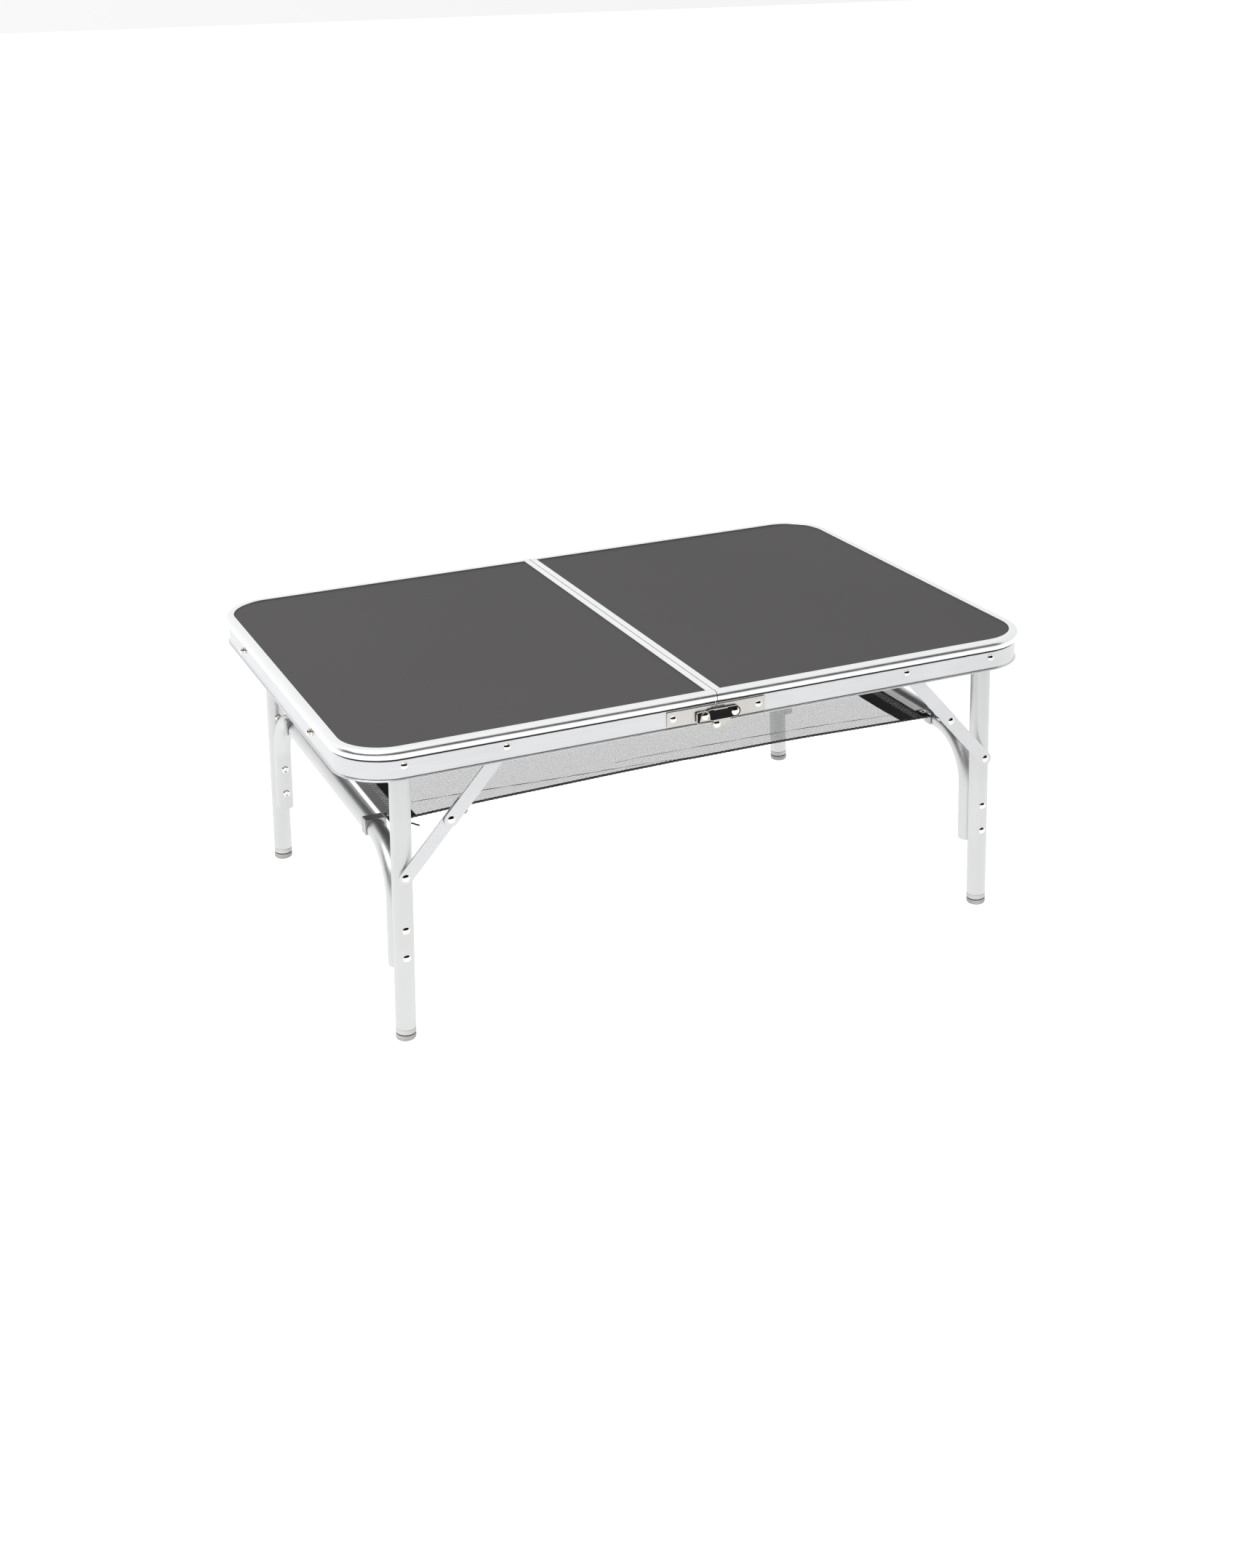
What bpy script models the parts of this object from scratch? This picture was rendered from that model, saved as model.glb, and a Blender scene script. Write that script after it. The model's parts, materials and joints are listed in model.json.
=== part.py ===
"""Folding camp kitchen table: a top in two halves, folding leg frames, locking braces and a net shelf.

Metres, +Z up, X along the long side, Y from front to back. The origin is on the floor under the
middle of the top. SIDE is -1 on the left half and +1 on the right, FACE is -1 in front and +1 behind.
"""
import math

import bmesh
import bpy
from mathutils import Matrix, Vector

# Overall sizes
TOP_LENGTH = 0.900
TOP_WIDTH = 0.600
PANEL_HEIGHT = 0.372          # upper surface of the panels above the floor
CORNER_RADIUS = 0.067         # outside of the edge frame, in plan

# Clearances
FIT = 0.0003                  # between pieces that touch
PIN_FIT = 0.0003              # radial, round a rivet
SEAM_GAP = 0.0008             # between the two halves

# Panels and edge frame
PANEL_THICKNESS = 0.0040
BEAD_WIDTH = 0.0120           # bright rounded edge seen from above
BEAD_RISE = 0.0020            # above the panel
BEAD_DEPTH = 0.0100           # below the panel's surface
SKIRT_INSET = 0.0035          # skirt's face behind the bead's outer side
SKIRT_WALL = 0.0018
SKIRT_DEPTH = 0.0363          # bottom of the skirt below the panel's surface
LIP_REACH = 0.0017            # foot of the skirt stands out by this
LIP_HEIGHT = 0.0025
LEDGE_THICKNESS = 0.0016      # carries the panel from below
SLOT_DEPTH = 0.0080           # how far the panel runs under the bead
SEAM_STRIP_WIDTH = 0.0089
SEAM_WALL = 0.0014
SEAM_DROP = 0.0180

# Legs
LEG_DIAMETER = 0.0240
LEG_WALL = 0.0013
LEG_FROM_END = 0.0687         # leg pivot, measured from the end of the top
PIVOT_DEPTH = 0.0198          # leg and brace pivots below the panel's surface
LEG_TOP_ABOVE_PIVOT = 0.0085
SPLAY = math.radians(2.35)    # legs lean outwards

# Crossbar: one bent tube between the two legs of an end
BAR_DIAMETER = 0.0230
BAR_WALL = 0.0013
BAR_BELOW_PIVOT = 0.1233
BAR_BEND_RADIUS = 0.0650
BAR_END_BELOW_PIVOT = 0.2660
BAR_RIVETS = (0.2075, 0.2430)  # below the pivot, along the leg

# Braces
BRACE_SPACING = 0.1206        # from leg pivot to the brace's pivot on the frame
BRACE_ON_LEG = 0.1397         # from leg pivot to the brace's pivot on the leg
LINK_WIDTH = 0.0170
LINK_THICKNESS = 0.0015
LINK_GAP = 0.0018             # between the upper and the lower link
LINK_TO_SKIRT = 0.0019
LINK_TO_LEG = 0.0020
STOP_REACH = 0.0240           # lower link past the middle joint
STOP_TAB_LENGTH = 0.0050
RIVET_TAIL_INSIDE = 0.0004    # tail of the middle rivet, between the lower link and the leg

# Rivets
RIVET_RADIUS = 0.0030
HEAD_RADIUS = 0.0046
HEAD_HEIGHT = 0.0015
TAIL_HEIGHT = 0.0010
LEG_HEAD_HEIGHT = 0.0013      # crossbar rivets, which the folded brace passes over

# Feet
FOOT_COLLAR_HEIGHT = 0.0062
FOOT_RING = 0.0012            # gap between collar and cap
FOOT_CAP_HEIGHT = 0.0074
FOOT_PLUG = 0.0150
FOOT_STEM_RADIUS = 0.0040
FOOT_STEM = 0.0230

# Centre hinges and latches
HINGE_DROP = 0.0012           # hinge axis below the skirt
HINGE_PLATE_LENGTH = 0.0640
HINGE_PLATE_TO_FOOT = 0.0036  # plate's lower edge above the foot of the skirt
HINGE_PLATE_THICKNESS = 0.0015
HINGE_PLATE_TOP = 0.0135      # below the panel's surface
HINGE_LOBE_RADIUS = 0.0060
HINGE_RIVET_FROM_SEAM = 0.0556
HINGE_RIVET_DEPTH = 0.0225    # below the panel's surface
HINGE_ARM_LENGTH = 0.0125
HINGE_ARM_RISE = 0.0050       # arm's top above the plate's lower edge
LATCH_DEPTH = 0.0248          # latch pivot and stud below the panel's surface
LATCH_PIVOT_FROM_SEAM = 0.0228
LATCH_STUD_FROM_SEAM = 0.0166
LEVER_RADIUS = 0.0072
LEVER_THICKNESS = 0.0015
LEVER_CLEARANCE = 0.0006      # lever in front of the bead's outer side
STUD_RADIUS = 0.0044
STUD_FIT = 0.0007             # lever's notch round the stud
HOOK_WIDTH = 0.0060
LATCH_REACH = 0.0036          # rivet heads and studs beyond the bead's outer side

# Case catches, case latches and handle on the ends
CATCH_SPACING = 0.310
CATCH_DEPTH = 0.0180
END_RIVET_DEPTH = 0.0150      # small rivet in the middle of the left end
END_RIVET_RADIUS = 0.0032
END_RIVET_HEIGHT = 0.0012
HANDLE_LENGTH = 0.110
HANDLE_DROP = 0.034
HANDLE_BAR = 0.0036
HANDLE_PIVOT_DEPTH = 0.0215
HANDLE_PIN_RADIUS = 0.0016
BRACKET_WIDTH = 0.0100

# Net shelf
NET_THICKNESS = 0.0020
NET_TO_BAR_BEND = 0.0010      # net's edge past the straight stretch of the crossbar
NET_END_CLEARANCE = 0.0045
STRIP_WIDTH = 0.0120
STRIP_THICKNESS = 0.0020
CLIP_WIDTH = 0.0140
CLIP_WALL = 0.0012
CLIP_FROM_BEND = 0.0120

# Rounding
TUBE_STEPS = 18
RIVET_STEPS = 12
HOLE_STEPS = 12
ARC_STEPS = 6
CORNER_STEPS = 10
BEND_STEPS = 5

# Places that follow from the sizes above
HALF_LENGTH = TOP_LENGTH / 2
HALF_WIDTH = TOP_WIDTH / 2
SKIRT_FACE = HALF_WIDTH - SKIRT_INSET
SKIRT_INNER = SKIRT_FACE - SKIRT_WALL
UPPER_LINK_OUTER = SKIRT_INNER - LINK_TO_SKIRT
UPPER_LINK_Y = UPPER_LINK_OUTER - LINK_THICKNESS / 2
LOWER_LINK_OUTER = UPPER_LINK_OUTER - LINK_THICKNESS - LINK_GAP
LOWER_LINK_Y = LOWER_LINK_OUTER - LINK_THICKNESS / 2
LEG_RADIUS = LEG_DIAMETER / 2
LEG_Y = LOWER_LINK_OUTER - LINK_THICKNESS - LINK_TO_LEG - LEG_RADIUS
BAR_RADIUS = BAR_DIAMETER / 2
BAR_Y = LEG_Y - LEG_RADIUS - FIT - BAR_RADIUS
BAR_STRAIGHT = BAR_Y - BAR_BEND_RADIUS
PIVOT_X = HALF_LENGTH - LEG_FROM_END
PIVOT_Z = PANEL_HEIGHT - PIVOT_DEPTH
BRACE_X = PIVOT_X - BRACE_SPACING
LEG_TO_FLOOR = PIVOT_Z / math.cos(SPLAY)
HINGE_Z = PANEL_HEIGHT - SKIRT_DEPTH - HINGE_DROP
HINGE_PLATE_BOTTOM = SKIRT_DEPTH - HINGE_PLATE_TO_FOOT
PLATE_INNER = SKIRT_FACE + FIT
PLATE_OUTER = PLATE_INNER + HINGE_PLATE_THICKNESS
ARM_INNER = PLATE_OUTER + FIT
ARM_OUTER = ARM_INNER + HINGE_PLATE_THICKNESS
LEVER_INNER = LEVER_CLEARANCE
LEVER_OUTER = LEVER_INNER + LEVER_THICKNESS
CASE_HALF_SPACING = CATCH_SPACING / 2

SIDES = {"left": -1, "right": 1}
FACES = {"front": -1, "back": 1}
UPRIGHT = Matrix.Rotation(math.pi / 2, 4, "X")


# ---------------------------------------------------------------- materials

def material(name, colour, roughness, metallic):
    mat = bpy.data.materials.new(name)
    mat.use_nodes = True
    shader = mat.node_tree.nodes["Principled BSDF"]
    shader.inputs["Base Color"].default_value = (*colour, 1.0)
    shader.inputs["Roughness"].default_value = roughness
    shader.inputs["Metallic"].default_value = metallic
    mat.diffuse_color = (*colour, 1.0)
    return mat


# ---------------------------------------------------------------- helpers

def start_scene():
    for obj in list(bpy.data.objects):
        bpy.data.objects.remove(obj)
    for name in ("camp_kitchen_table", "cutters"):
        collection = bpy.data.collections.new(name)
        bpy.context.scene.collection.children.link(collection)


def add_object(name, data, mat=None, parent=None, location=(0, 0, 0), rotation=(0, 0, 0)):
    obj = bpy.data.objects.new(name, data)
    bpy.data.collections["camp_kitchen_table"].objects.link(obj)
    obj.location = location
    obj.rotation_euler = rotation
    obj.parent = parent
    if mat is not None:
        data.materials.append(mat)
    return obj


def add_axis(name, location, rotation=(0, 0, 0), parent=None):
    return add_object(name, None, parent=parent, location=location, rotation=rotation)


def shade(mesh):
    mesh.shade_smooth()
    mesh.set_sharp_from_angle(angle=math.radians(35))


def bm_to_mesh(name, bm):
    bmesh.ops.recalc_face_normals(bm, faces=bm.faces)
    mesh = bpy.data.meshes.new(name)
    bm.to_mesh(mesh)
    bm.free()
    shade(mesh)
    return mesh


def curve_mesh(name, curve, transform=Matrix()):
    """The curve's evaluated surface as a mesh, with its caps welded on."""
    holder = bpy.data.objects.new(name, curve)
    bpy.context.scene.collection.objects.link(holder)
    graph = bpy.context.evaluated_depsgraph_get()
    mesh = bpy.data.meshes.new_from_object(holder.evaluated_get(graph))
    bpy.data.objects.remove(holder)
    bm = bmesh.new()
    bm.from_mesh(mesh)
    bpy.data.meshes.remove(mesh)
    bmesh.ops.remove_doubles(bm, verts=bm.verts, dist=0.000005)
    bmesh.ops.transform(bm, matrix=transform, verts=bm.verts)
    return bm_to_mesh(name, bm)


def arc(centre, radius, start, end, steps=ARC_STEPS):
    """Points of an arc in a plane, from start to end in degrees."""
    points = []
    for step in range(steps + 1):
        angle = math.radians(start + (end - start) * step / steps)
        points.append((centre[0] + radius * math.cos(angle), centre[1] + radius * math.sin(angle)))
    return points


def circle(centre, radius, steps=HOLE_STEPS):
    return arc(centre, radius, 0, 360 * (steps - 1) / steps, steps - 1)


def plate_mesh(name, outline, holes, thickness, transform=UPRIGHT):
    """A flat plate: a filled outline with holes, standing upright with its thickness along Y."""
    curve = bpy.data.curves.new(name, "CURVE")
    curve.dimensions = "2D"
    curve.fill_mode = "BOTH"
    curve.extrude = thickness / 2
    for points in [outline, *holes]:
        spline = curve.splines.new("POLY")
        spline.points.add(len(points) - 1)
        for point, (x, y) in zip(spline.points, points):
            point.co = (x, y, 0, 1)
        spline.use_cyclic_u = True
    return curve_mesh(name, curve, transform)


def block_mesh(name, low, high):
    bm = bmesh.new()
    bmesh.ops.create_cube(bm, size=1)
    low, high = Vector(low), Vector(high)
    centre = (low + high) / 2
    bmesh.ops.scale(bm, vec=high - low, verts=bm.verts)
    bmesh.ops.translate(bm, vec=centre, verts=bm.verts)
    return bm_to_mesh(name, bm)


def profile_mesh(name, profile, closed):
    """A profile in the XZ plane that a Screw modifier turns about Z."""
    mesh = bpy.data.meshes.new(name)
    edges = [(i, i + 1) for i in range(len(profile) - 1)]
    if closed:
        edges.append((len(profile) - 1, 0))
    mesh.from_pydata([(r, 0, z) for r, z in profile], edges, [])
    return mesh


def turn_profile(obj, steps=RIVET_STEPS):
    screw = obj.modifiers.new("turned", "SCREW")
    screw.steps = steps
    screw.render_steps = steps
    screw.use_merge_vertices = True
    screw.merge_threshold = 0.00001
    screw.use_smooth_shade = True
    return obj


def outward(face):
    """Rotation that turns +Z towards the front or the back."""
    return (-face * math.pi / 2, 0, 0)


def dome(radius, base, height, steps=2):
    """Profile of a rivet head, from its crown down to its rim."""
    crown = []
    for step in range(steps + 1):
        angle = math.radians(90 * step / steps)
        crown.append((radius * math.sin(angle), base + height * math.cos(angle)))
    return crown


def as_tool(obj):
    collection = bpy.data.collections["cutters"]
    bpy.data.collections["camp_kitchen_table"].objects.unlink(obj)
    collection.objects.link(obj)
    obj.hide_render = True
    obj.display_type = "WIRE"
    return obj


def boolean(obj, tool, operation):
    modifier = obj.modifiers.new(operation.lower() + "_" + tool.name, "BOOLEAN")
    modifier.operation = operation
    modifier.solver = "EXACT"
    modifier.object = tool


def drill(obj, name, centre, radius, y_low, y_high, parent=None):
    """A round hole along Y."""
    profile = [(0, y_high), (radius, y_high), (radius, y_low), (0, y_low)]
    location = (centre[0], 0, centre[1])
    tool = add_object(name, profile_mesh(name, profile, False), parent=parent, location=location,
                      rotation=outward(1))
    turn_profile(tool, HOLE_STEPS)
    boolean(obj, as_tool(tool), "DIFFERENCE")


def fuse_turned(obj, name, profile, centre, face, parent=None):
    """A turned piece on an axis along Y, joined to obj. Heights count outwards from the middle."""
    tool = add_object(name, profile_mesh(name, profile, False), parent=parent,
                      location=(centre[0], 0, centre[1]), rotation=outward(face))
    turn_profile(tool)
    boolean(obj, as_tool(tool), "UNION")


def turned_piece(name, profile, mat, location, rotation, parent=None, closed=False, steps=RIVET_STEPS):
    obj = add_object(name, profile_mesh(name, profile, closed), mat, parent, location, rotation)
    return turn_profile(obj, steps)


def local_z(world_z, axis):
    """A height in the frame of an upright axis object."""
    return world_z - (axis.location.z if axis else 0)


# ---------------------------------------------------------------- top

def rim_profile():
    """Section of the edge frame: distance outwards from the bead's outer side, height above the panel."""
    face = -SKIRT_INSET
    inner = face - SKIRT_WALL
    slot_end = SLOT_DEPTH - BEAD_WIDTH
    under = -PANEL_THICKNESS - FIT
    groove = 0.0010
    big, small, edge = 0.0055, 0.0030, 0.0015
    foot = -SKIRT_DEPTH
    lip = face + LIP_REACH
    profile = arc((-BEAD_WIDTH + edge, BEAD_RISE - edge), edge, 180, 90, 2)
    profile += arc((-big, BEAD_RISE - big), big, 90, 0, 3)
    profile += arc((-small, -BEAD_DEPTH + small), small, 0, -90, 2)
    profile += [(face - groove, -BEAD_DEPTH), (face - groove, -BEAD_DEPTH - groove)]
    profile += [(face, -BEAD_DEPTH - 2 * groove), (face, foot + LIP_HEIGHT)]
    profile += [(lip, foot + LIP_HEIGHT / 2), (lip, foot), (inner, foot)]
    profile += [(inner, under - LEDGE_THICKNESS), (-BEAD_WIDTH, under - LEDGE_THICKNESS)]
    profile += [(-BEAD_WIDTH, under), (slot_end, under), (slot_end, FIT), (-BEAD_WIDTH, FIT)]
    return profile


def sweep(name, profile, moves):
    """Carries a closed loop of points through a list of straight runs and turns, and caps both ends."""
    bm = bmesh.new()
    verts = [bm.verts.new(point) for point in profile]
    edges = [bm.edges.new((verts[i - 1], verts[i])) for i in range(len(verts))]
    for kind, value, centre in moves:
        made = bmesh.ops.extrude_edge_only(bm, edges=edges)["geom"]
        verts = [g for g in made if isinstance(g, bmesh.types.BMVert)]
        corners = set(verts)
        edges = [g for g in made if isinstance(g, bmesh.types.BMEdge) and corners.issuperset(g.verts)]
        if kind == "run":
            bmesh.ops.translate(bm, vec=value, verts=verts)
        else:
            bmesh.ops.rotate(bm, cent=centre, matrix=Matrix.Rotation(value, 3, "Z"), verts=verts)
    bmesh.ops.holes_fill(bm, edges=bm.edges, sides=0)
    return bm_to_mesh(name, bm)


def rim_moves(side):
    straight = HALF_LENGTH - CORNER_RADIUS - SEAM_GAP / 2
    corner_x = side * (HALF_LENGTH - CORNER_RADIUS)
    corner_y = HALF_WIDTH - CORNER_RADIUS
    step = side * math.radians(90) / CORNER_STEPS
    moves = [("run", (side * straight, 0, 0), None)]
    moves += [("turn", step, (corner_x, -corner_y, 0))] * CORNER_STEPS
    moves += [("run", (0, 2 * corner_y, 0), None)]
    moves += [("turn", step, (corner_x, corner_y, 0))] * CORNER_STEPS
    moves += [("run", (-side * straight, 0, 0), None)]
    return moves


def make_edge_frame(name, side, mat, parent):
    start = side * SEAM_GAP / 2
    profile = [(start, -(HALF_WIDTH + u), z) for u, z in rim_profile()]
    mesh = sweep(name, profile, rim_moves(side))
    frame = add_object(name, mesh, mat, parent, (0, 0, local_z(PANEL_HEIGHT, parent)))
    pivots = {"leg": (PIVOT_X, PIVOT_DEPTH), "brace": (BRACE_X, PIVOT_DEPTH),
              "hinge": (HINGE_RIVET_FROM_SEAM, HINGE_RIVET_DEPTH)}
    for hole, (x, depth) in pivots.items():
        height = local_z(PANEL_HEIGHT - depth, parent)
        for face in (-1, 1):
            span = sorted((face * (SKIRT_INNER - 0.003), face * (SKIRT_FACE + 0.001)))
            drill(frame, f"{name}_{hole}_hole{face}", (side * x, height), RIVET_RADIUS + PIN_FIT,
                  span[0], span[1], parent)
    cut_lip(frame, name, side, parent)
    if side < 0:
        drill_end(frame, name, side, parent)
        add_end_rivet(frame, f"{name}_end_rivet", side, parent)
    else:
        for face in (-1, 1):
            add_case_post(frame, f"{name}_case_post{face}", face, parent)
    return frame


def cut_lip(frame, name, side, parent):
    """Room for the hinge lobes at the foot of the skirt, on both faces."""
    reach = HINGE_LOBE_RADIUS + 0.002
    foot = local_z(PANEL_HEIGHT - SKIRT_DEPTH, parent)
    for face in (-1, 1):
        x = sorted((-side * 0.001, side * reach))
        y = sorted((face * SKIRT_FACE, face * (HALF_WIDTH + 0.01)))
        low = (x[0], y[0], foot - 0.001)
        high = (x[1], y[1], foot + LIP_HEIGHT + 0.0003)
        tool = add_object(f"{name}_lip_room{face}", block_mesh("lip_room", low, high), parent=parent)
        boolean(frame, as_tool(tool), "DIFFERENCE")


def drill_end(frame, name, side, parent):
    """Holes in the left end skirt for the catches."""
    places = [(face * CASE_HALF_SPACING, CATCH_DEPTH) for face in (-1, 1)]
    radius = RIVET_RADIUS + PIN_FIT
    half = SKIRT_WALL + 0.002
    for index, (y, depth) in enumerate(places):
        profile = [(0, half), (radius, half), (radius, -half), (0, -half)]
        location = (side * (HALF_LENGTH - SKIRT_INSET - SKIRT_WALL / 2), y,
                    local_z(PANEL_HEIGHT - depth, parent))
        tool_name = f"{name}_end_hole{index}"
        tool = add_object(tool_name, profile_mesh(tool_name, profile, False), parent=parent,
                          location=location, rotation=(0, math.pi / 2, 0))
        turn_profile(tool, HOLE_STEPS)
        boolean(frame, as_tool(tool), "DIFFERENCE")


def add_end_rivet(frame, name, side, parent):
    """Small rivet head in the middle of the end skirt."""
    skirt = HALF_LENGTH - SKIRT_INSET
    root = skirt - SKIRT_WALL / 2
    profile = dome(END_RIVET_RADIUS, skirt, END_RIVET_HEIGHT)
    profile += [(END_RIVET_RADIUS, root), (0, root)]
    location = (0, 0, local_z(PANEL_HEIGHT - END_RIVET_DEPTH, parent))
    tool = add_object(name, profile_mesh(name, profile, False), parent=parent, location=location,
                      rotation=(0, side * math.pi / 2, 0))
    turn_profile(tool)
    boolean(frame, as_tool(tool), "UNION")


def make_panel(name, side, mat, parent):
    """A board with two rounded corners, held in the frame's slot and the seam strip."""
    inset = BEAD_WIDTH - SLOT_DEPTH + FIT
    radius = CORNER_RADIUS - inset
    x_end = HALF_LENGTH - CORNER_RADIUS
    y_end = HALF_WIDTH - CORNER_RADIUS
    seam = SEAM_GAP / 2 + SEAM_WALL + FIT
    outline = [(seam, -(y_end + radius))]
    outline += arc((x_end, -y_end), radius, -90, 0, CORNER_STEPS)
    outline += arc((x_end, y_end), radius, 0, 90, CORNER_STEPS)
    outline += [(seam, y_end + radius)]
    outline = [(side * x, y) for x, y in outline]
    mesh = plate_mesh(name, outline, [], PANEL_THICKNESS, Matrix())
    height = local_z(PANEL_HEIGHT - PANEL_THICKNESS / 2, parent)
    return add_object(name, mesh, mat, parent, (0, 0, height))


def make_seam_strip(name, side, mat, parent):
    """Aluminium channel that closes the panel's inner edge, with a web that stiffens the half."""
    inner = SEAM_GAP / 2
    web = inner + SEAM_WALL
    outer = inner + SEAM_STRIP_WIDTH
    top = 0.0016
    under = -PANEL_THICKNESS - FIT
    groove, width = 0.0004, 0.0005
    profile = [(inner, top), (inner, -SEAM_DROP), (web, -SEAM_DROP), (web, under - SEAM_WALL)]
    profile += [(outer, under - SEAM_WALL), (outer, under), (web, under), (web, FIT), (outer, FIT)]
    profile += [(outer, top)]
    for share in (0.68, 0.36):
        x = inner + share * SEAM_STRIP_WIDTH
        profile += [(x + width, top), (x, top - groove), (x - width, top)]
    length = 2 * (HALF_WIDTH - BEAD_WIDTH - FIT)
    points = [(side * x, -length / 2, z) for x, z in profile]
    mesh = sweep(name, points, [("run", (0, length, 0), None)])
    return add_object(name, mesh, mat, parent, (0, 0, local_z(PANEL_HEIGHT, parent)))


# ---------------------------------------------------------------- rivets through the skirt

def shouldered_rivet(spacer_in, tail):
    """Head outside the skirt, shank, spacer inside the skirt, shank again and a formed tail."""
    spacer_out = SKIRT_INNER - FIT
    profile = dome(HEAD_RADIUS, SKIRT_FACE + FIT, HEAD_HEIGHT)
    profile += [(RIVET_RADIUS, SKIRT_FACE + FIT), (RIVET_RADIUS, spacer_out)]
    profile += [(HEAD_RADIUS, spacer_out), (HEAD_RADIUS, spacer_in), (RIVET_RADIUS, spacer_in)]
    profile += [(RIVET_RADIUS, tail), (HEAD_RADIUS, tail), (HEAD_RADIUS, tail - TAIL_HEIGHT)]
    profile += [(0, tail - TAIL_HEIGHT)]
    return profile


def make_leg_pivot(name, side, face, mat, parent):
    profile = shouldered_rivet(LEG_Y + LEG_RADIUS + FIT, LEG_Y - LEG_RADIUS - FIT)
    location = (side * PIVOT_X, 0, local_z(PIVOT_Z, parent))
    return turned_piece(name, profile, mat, location, outward(face), parent)


def make_brace_rivet(name, side, face, mat, parent):
    profile = shouldered_rivet(UPPER_LINK_OUTER + FIT, UPPER_LINK_OUTER - LINK_THICKNESS - FIT)
    location = (side * BRACE_X, 0, local_z(PIVOT_Z, parent))
    return turned_piece(name, profile, mat, location, outward(face), parent)


# ---------------------------------------------------------------- leg frames

def make_leg(name, face, mat, parent):
    """Tube with its pivot hole, and the rivets that hold the crossbar and the brace fused to it."""
    bottom = -(LEG_TO_FLOOR - FOOT_CAP_HEIGHT - FOOT_RING - FOOT_COLLAR_HEIGHT - FIT)
    outer, inner = LEG_RADIUS, LEG_RADIUS - LEG_WALL
    profile = [(outer, LEG_TOP_ABOVE_PIVOT), (outer, bottom), (inner, bottom),
               (inner, LEG_TOP_ABOVE_PIVOT)]
    leg = turned_piece(name, profile, mat, (0, face * LEG_Y, 0), (0, 0, 0), parent, True, TUBE_STEPS)
    span = sorted((face * (LEG_Y - LEG_RADIUS - 0.002), face * (LEG_Y + LEG_RADIUS + 0.002)))
    drill(leg, f"{name}_pivot_hole", (0, 0), RIVET_RADIUS + PIN_FIT, span[0], span[1], parent)
    outside = LEG_Y + LEG_RADIUS
    bar_inside = BAR_Y - BAR_RADIUS - FIT
    for index, depth in enumerate(BAR_RIVETS):
        profile = dome(HEAD_RADIUS, outside - 0.0006, LEG_HEAD_HEIGHT + 0.0006)
        profile += [(RIVET_RADIUS, outside - 0.0006), (RIVET_RADIUS, bar_inside)]
        profile += [(HEAD_RADIUS, bar_inside), (HEAD_RADIUS, bar_inside - TAIL_HEIGHT)]
        profile += [(0, bar_inside - TAIL_HEIGHT)]
        fuse_turned(leg, f"{name}_bar_rivet{index}", profile, (0, -depth), face, parent)
    profile = dome(HEAD_RADIUS, LOWER_LINK_OUTER + FIT, HEAD_HEIGHT - FIT)
    washer = LOWER_LINK_OUTER - LINK_THICKNESS - FIT
    tail = LEG_Y - LEG_RADIUS
    profile += [(RIVET_RADIUS, LOWER_LINK_OUTER + FIT), (RIVET_RADIUS, washer)]
    profile += [(HEAD_RADIUS, washer), (HEAD_RADIUS, outside - 0.0006)]
    profile += [(RIVET_RADIUS, outside - 0.0006), (RIVET_RADIUS, tail + 0.0006)]
    profile += [(HEAD_RADIUS, tail + 0.0006), (HEAD_RADIUS, tail - TAIL_HEIGHT), (0, tail - TAIL_HEIGHT)]
    fuse_turned(leg, f"{name}_brace_rivet", profile, (0, -BRACE_ON_LEG), face, parent)
    return leg


def bar_route():
    """Centre line of the crossbar in the plane of the legs."""
    height = -BAR_BELOW_PIVOT
    corner = height - BAR_BEND_RADIUS
    route = [(-BAR_Y, -BAR_END_BELOW_PIVOT)]
    route += arc((-BAR_STRAIGHT, corner), BAR_BEND_RADIUS, 180, 90, BEND_STEPS)
    route += arc((BAR_STRAIGHT, corner), BAR_BEND_RADIUS, 90, 0, BEND_STEPS)
    route += [(BAR_Y, -BAR_END_BELOW_PIVOT)]
    return route


def make_crossbar(name, mat, parent):
    """One bent tube, open at its two lower ends and drilled for the leg rivets."""
    curve = bpy.data.curves.new(name, "CURVE")
    curve.dimensions = "3D"
    curve.bevel_depth = BAR_RADIUS
    curve.bevel_resolution = 3
    spline = curve.splines.new("POLY")
    route = bar_route()
    spline.points.add(len(route) - 1)
    for point, (y, z) in zip(spline.points, route):
        point.co = (0, y, z, 1)
    bar = add_object(name, curve_mesh(name, curve), mat, parent)
    wall = bar.modifiers.new("wall", "SOLIDIFY")
    wall.thickness = BAR_WALL
    wall.offset = -1
    for face in (-1, 1):
        span = sorted((face * (BAR_Y - BAR_RADIUS - 0.002), face * (BAR_Y + BAR_RADIUS + 0.0002)))
        for index, depth in enumerate(BAR_RIVETS):
            drill(bar, f"{name}_hole{face}_{index}", (0, -depth), RIVET_RADIUS + PIN_FIT,
                  span[0], span[1], parent)
    return bar


def make_foot_collar(name, face, mat, parent):
    """Plug that closes the leg's end, with a bore for the foot's stem."""
    low = -(LEG_TO_FLOOR - FOOT_CAP_HEIGHT - FOOT_RING)
    shoulder = low + FOOT_COLLAR_HEIGHT
    top = shoulder + FOOT_PLUG
    bore = FOOT_STEM_RADIUS + PIN_FIT
    plug = LEG_RADIUS - LEG_WALL - FIT
    profile = [(plug, top), (plug, shoulder), (LEG_RADIUS, shoulder), (LEG_RADIUS, low), (bore, low),
               (bore, top)]
    return turned_piece(name, profile, mat, (0, face * LEG_Y, 0), (0, 0, 0), parent, True, TUBE_STEPS)


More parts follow.
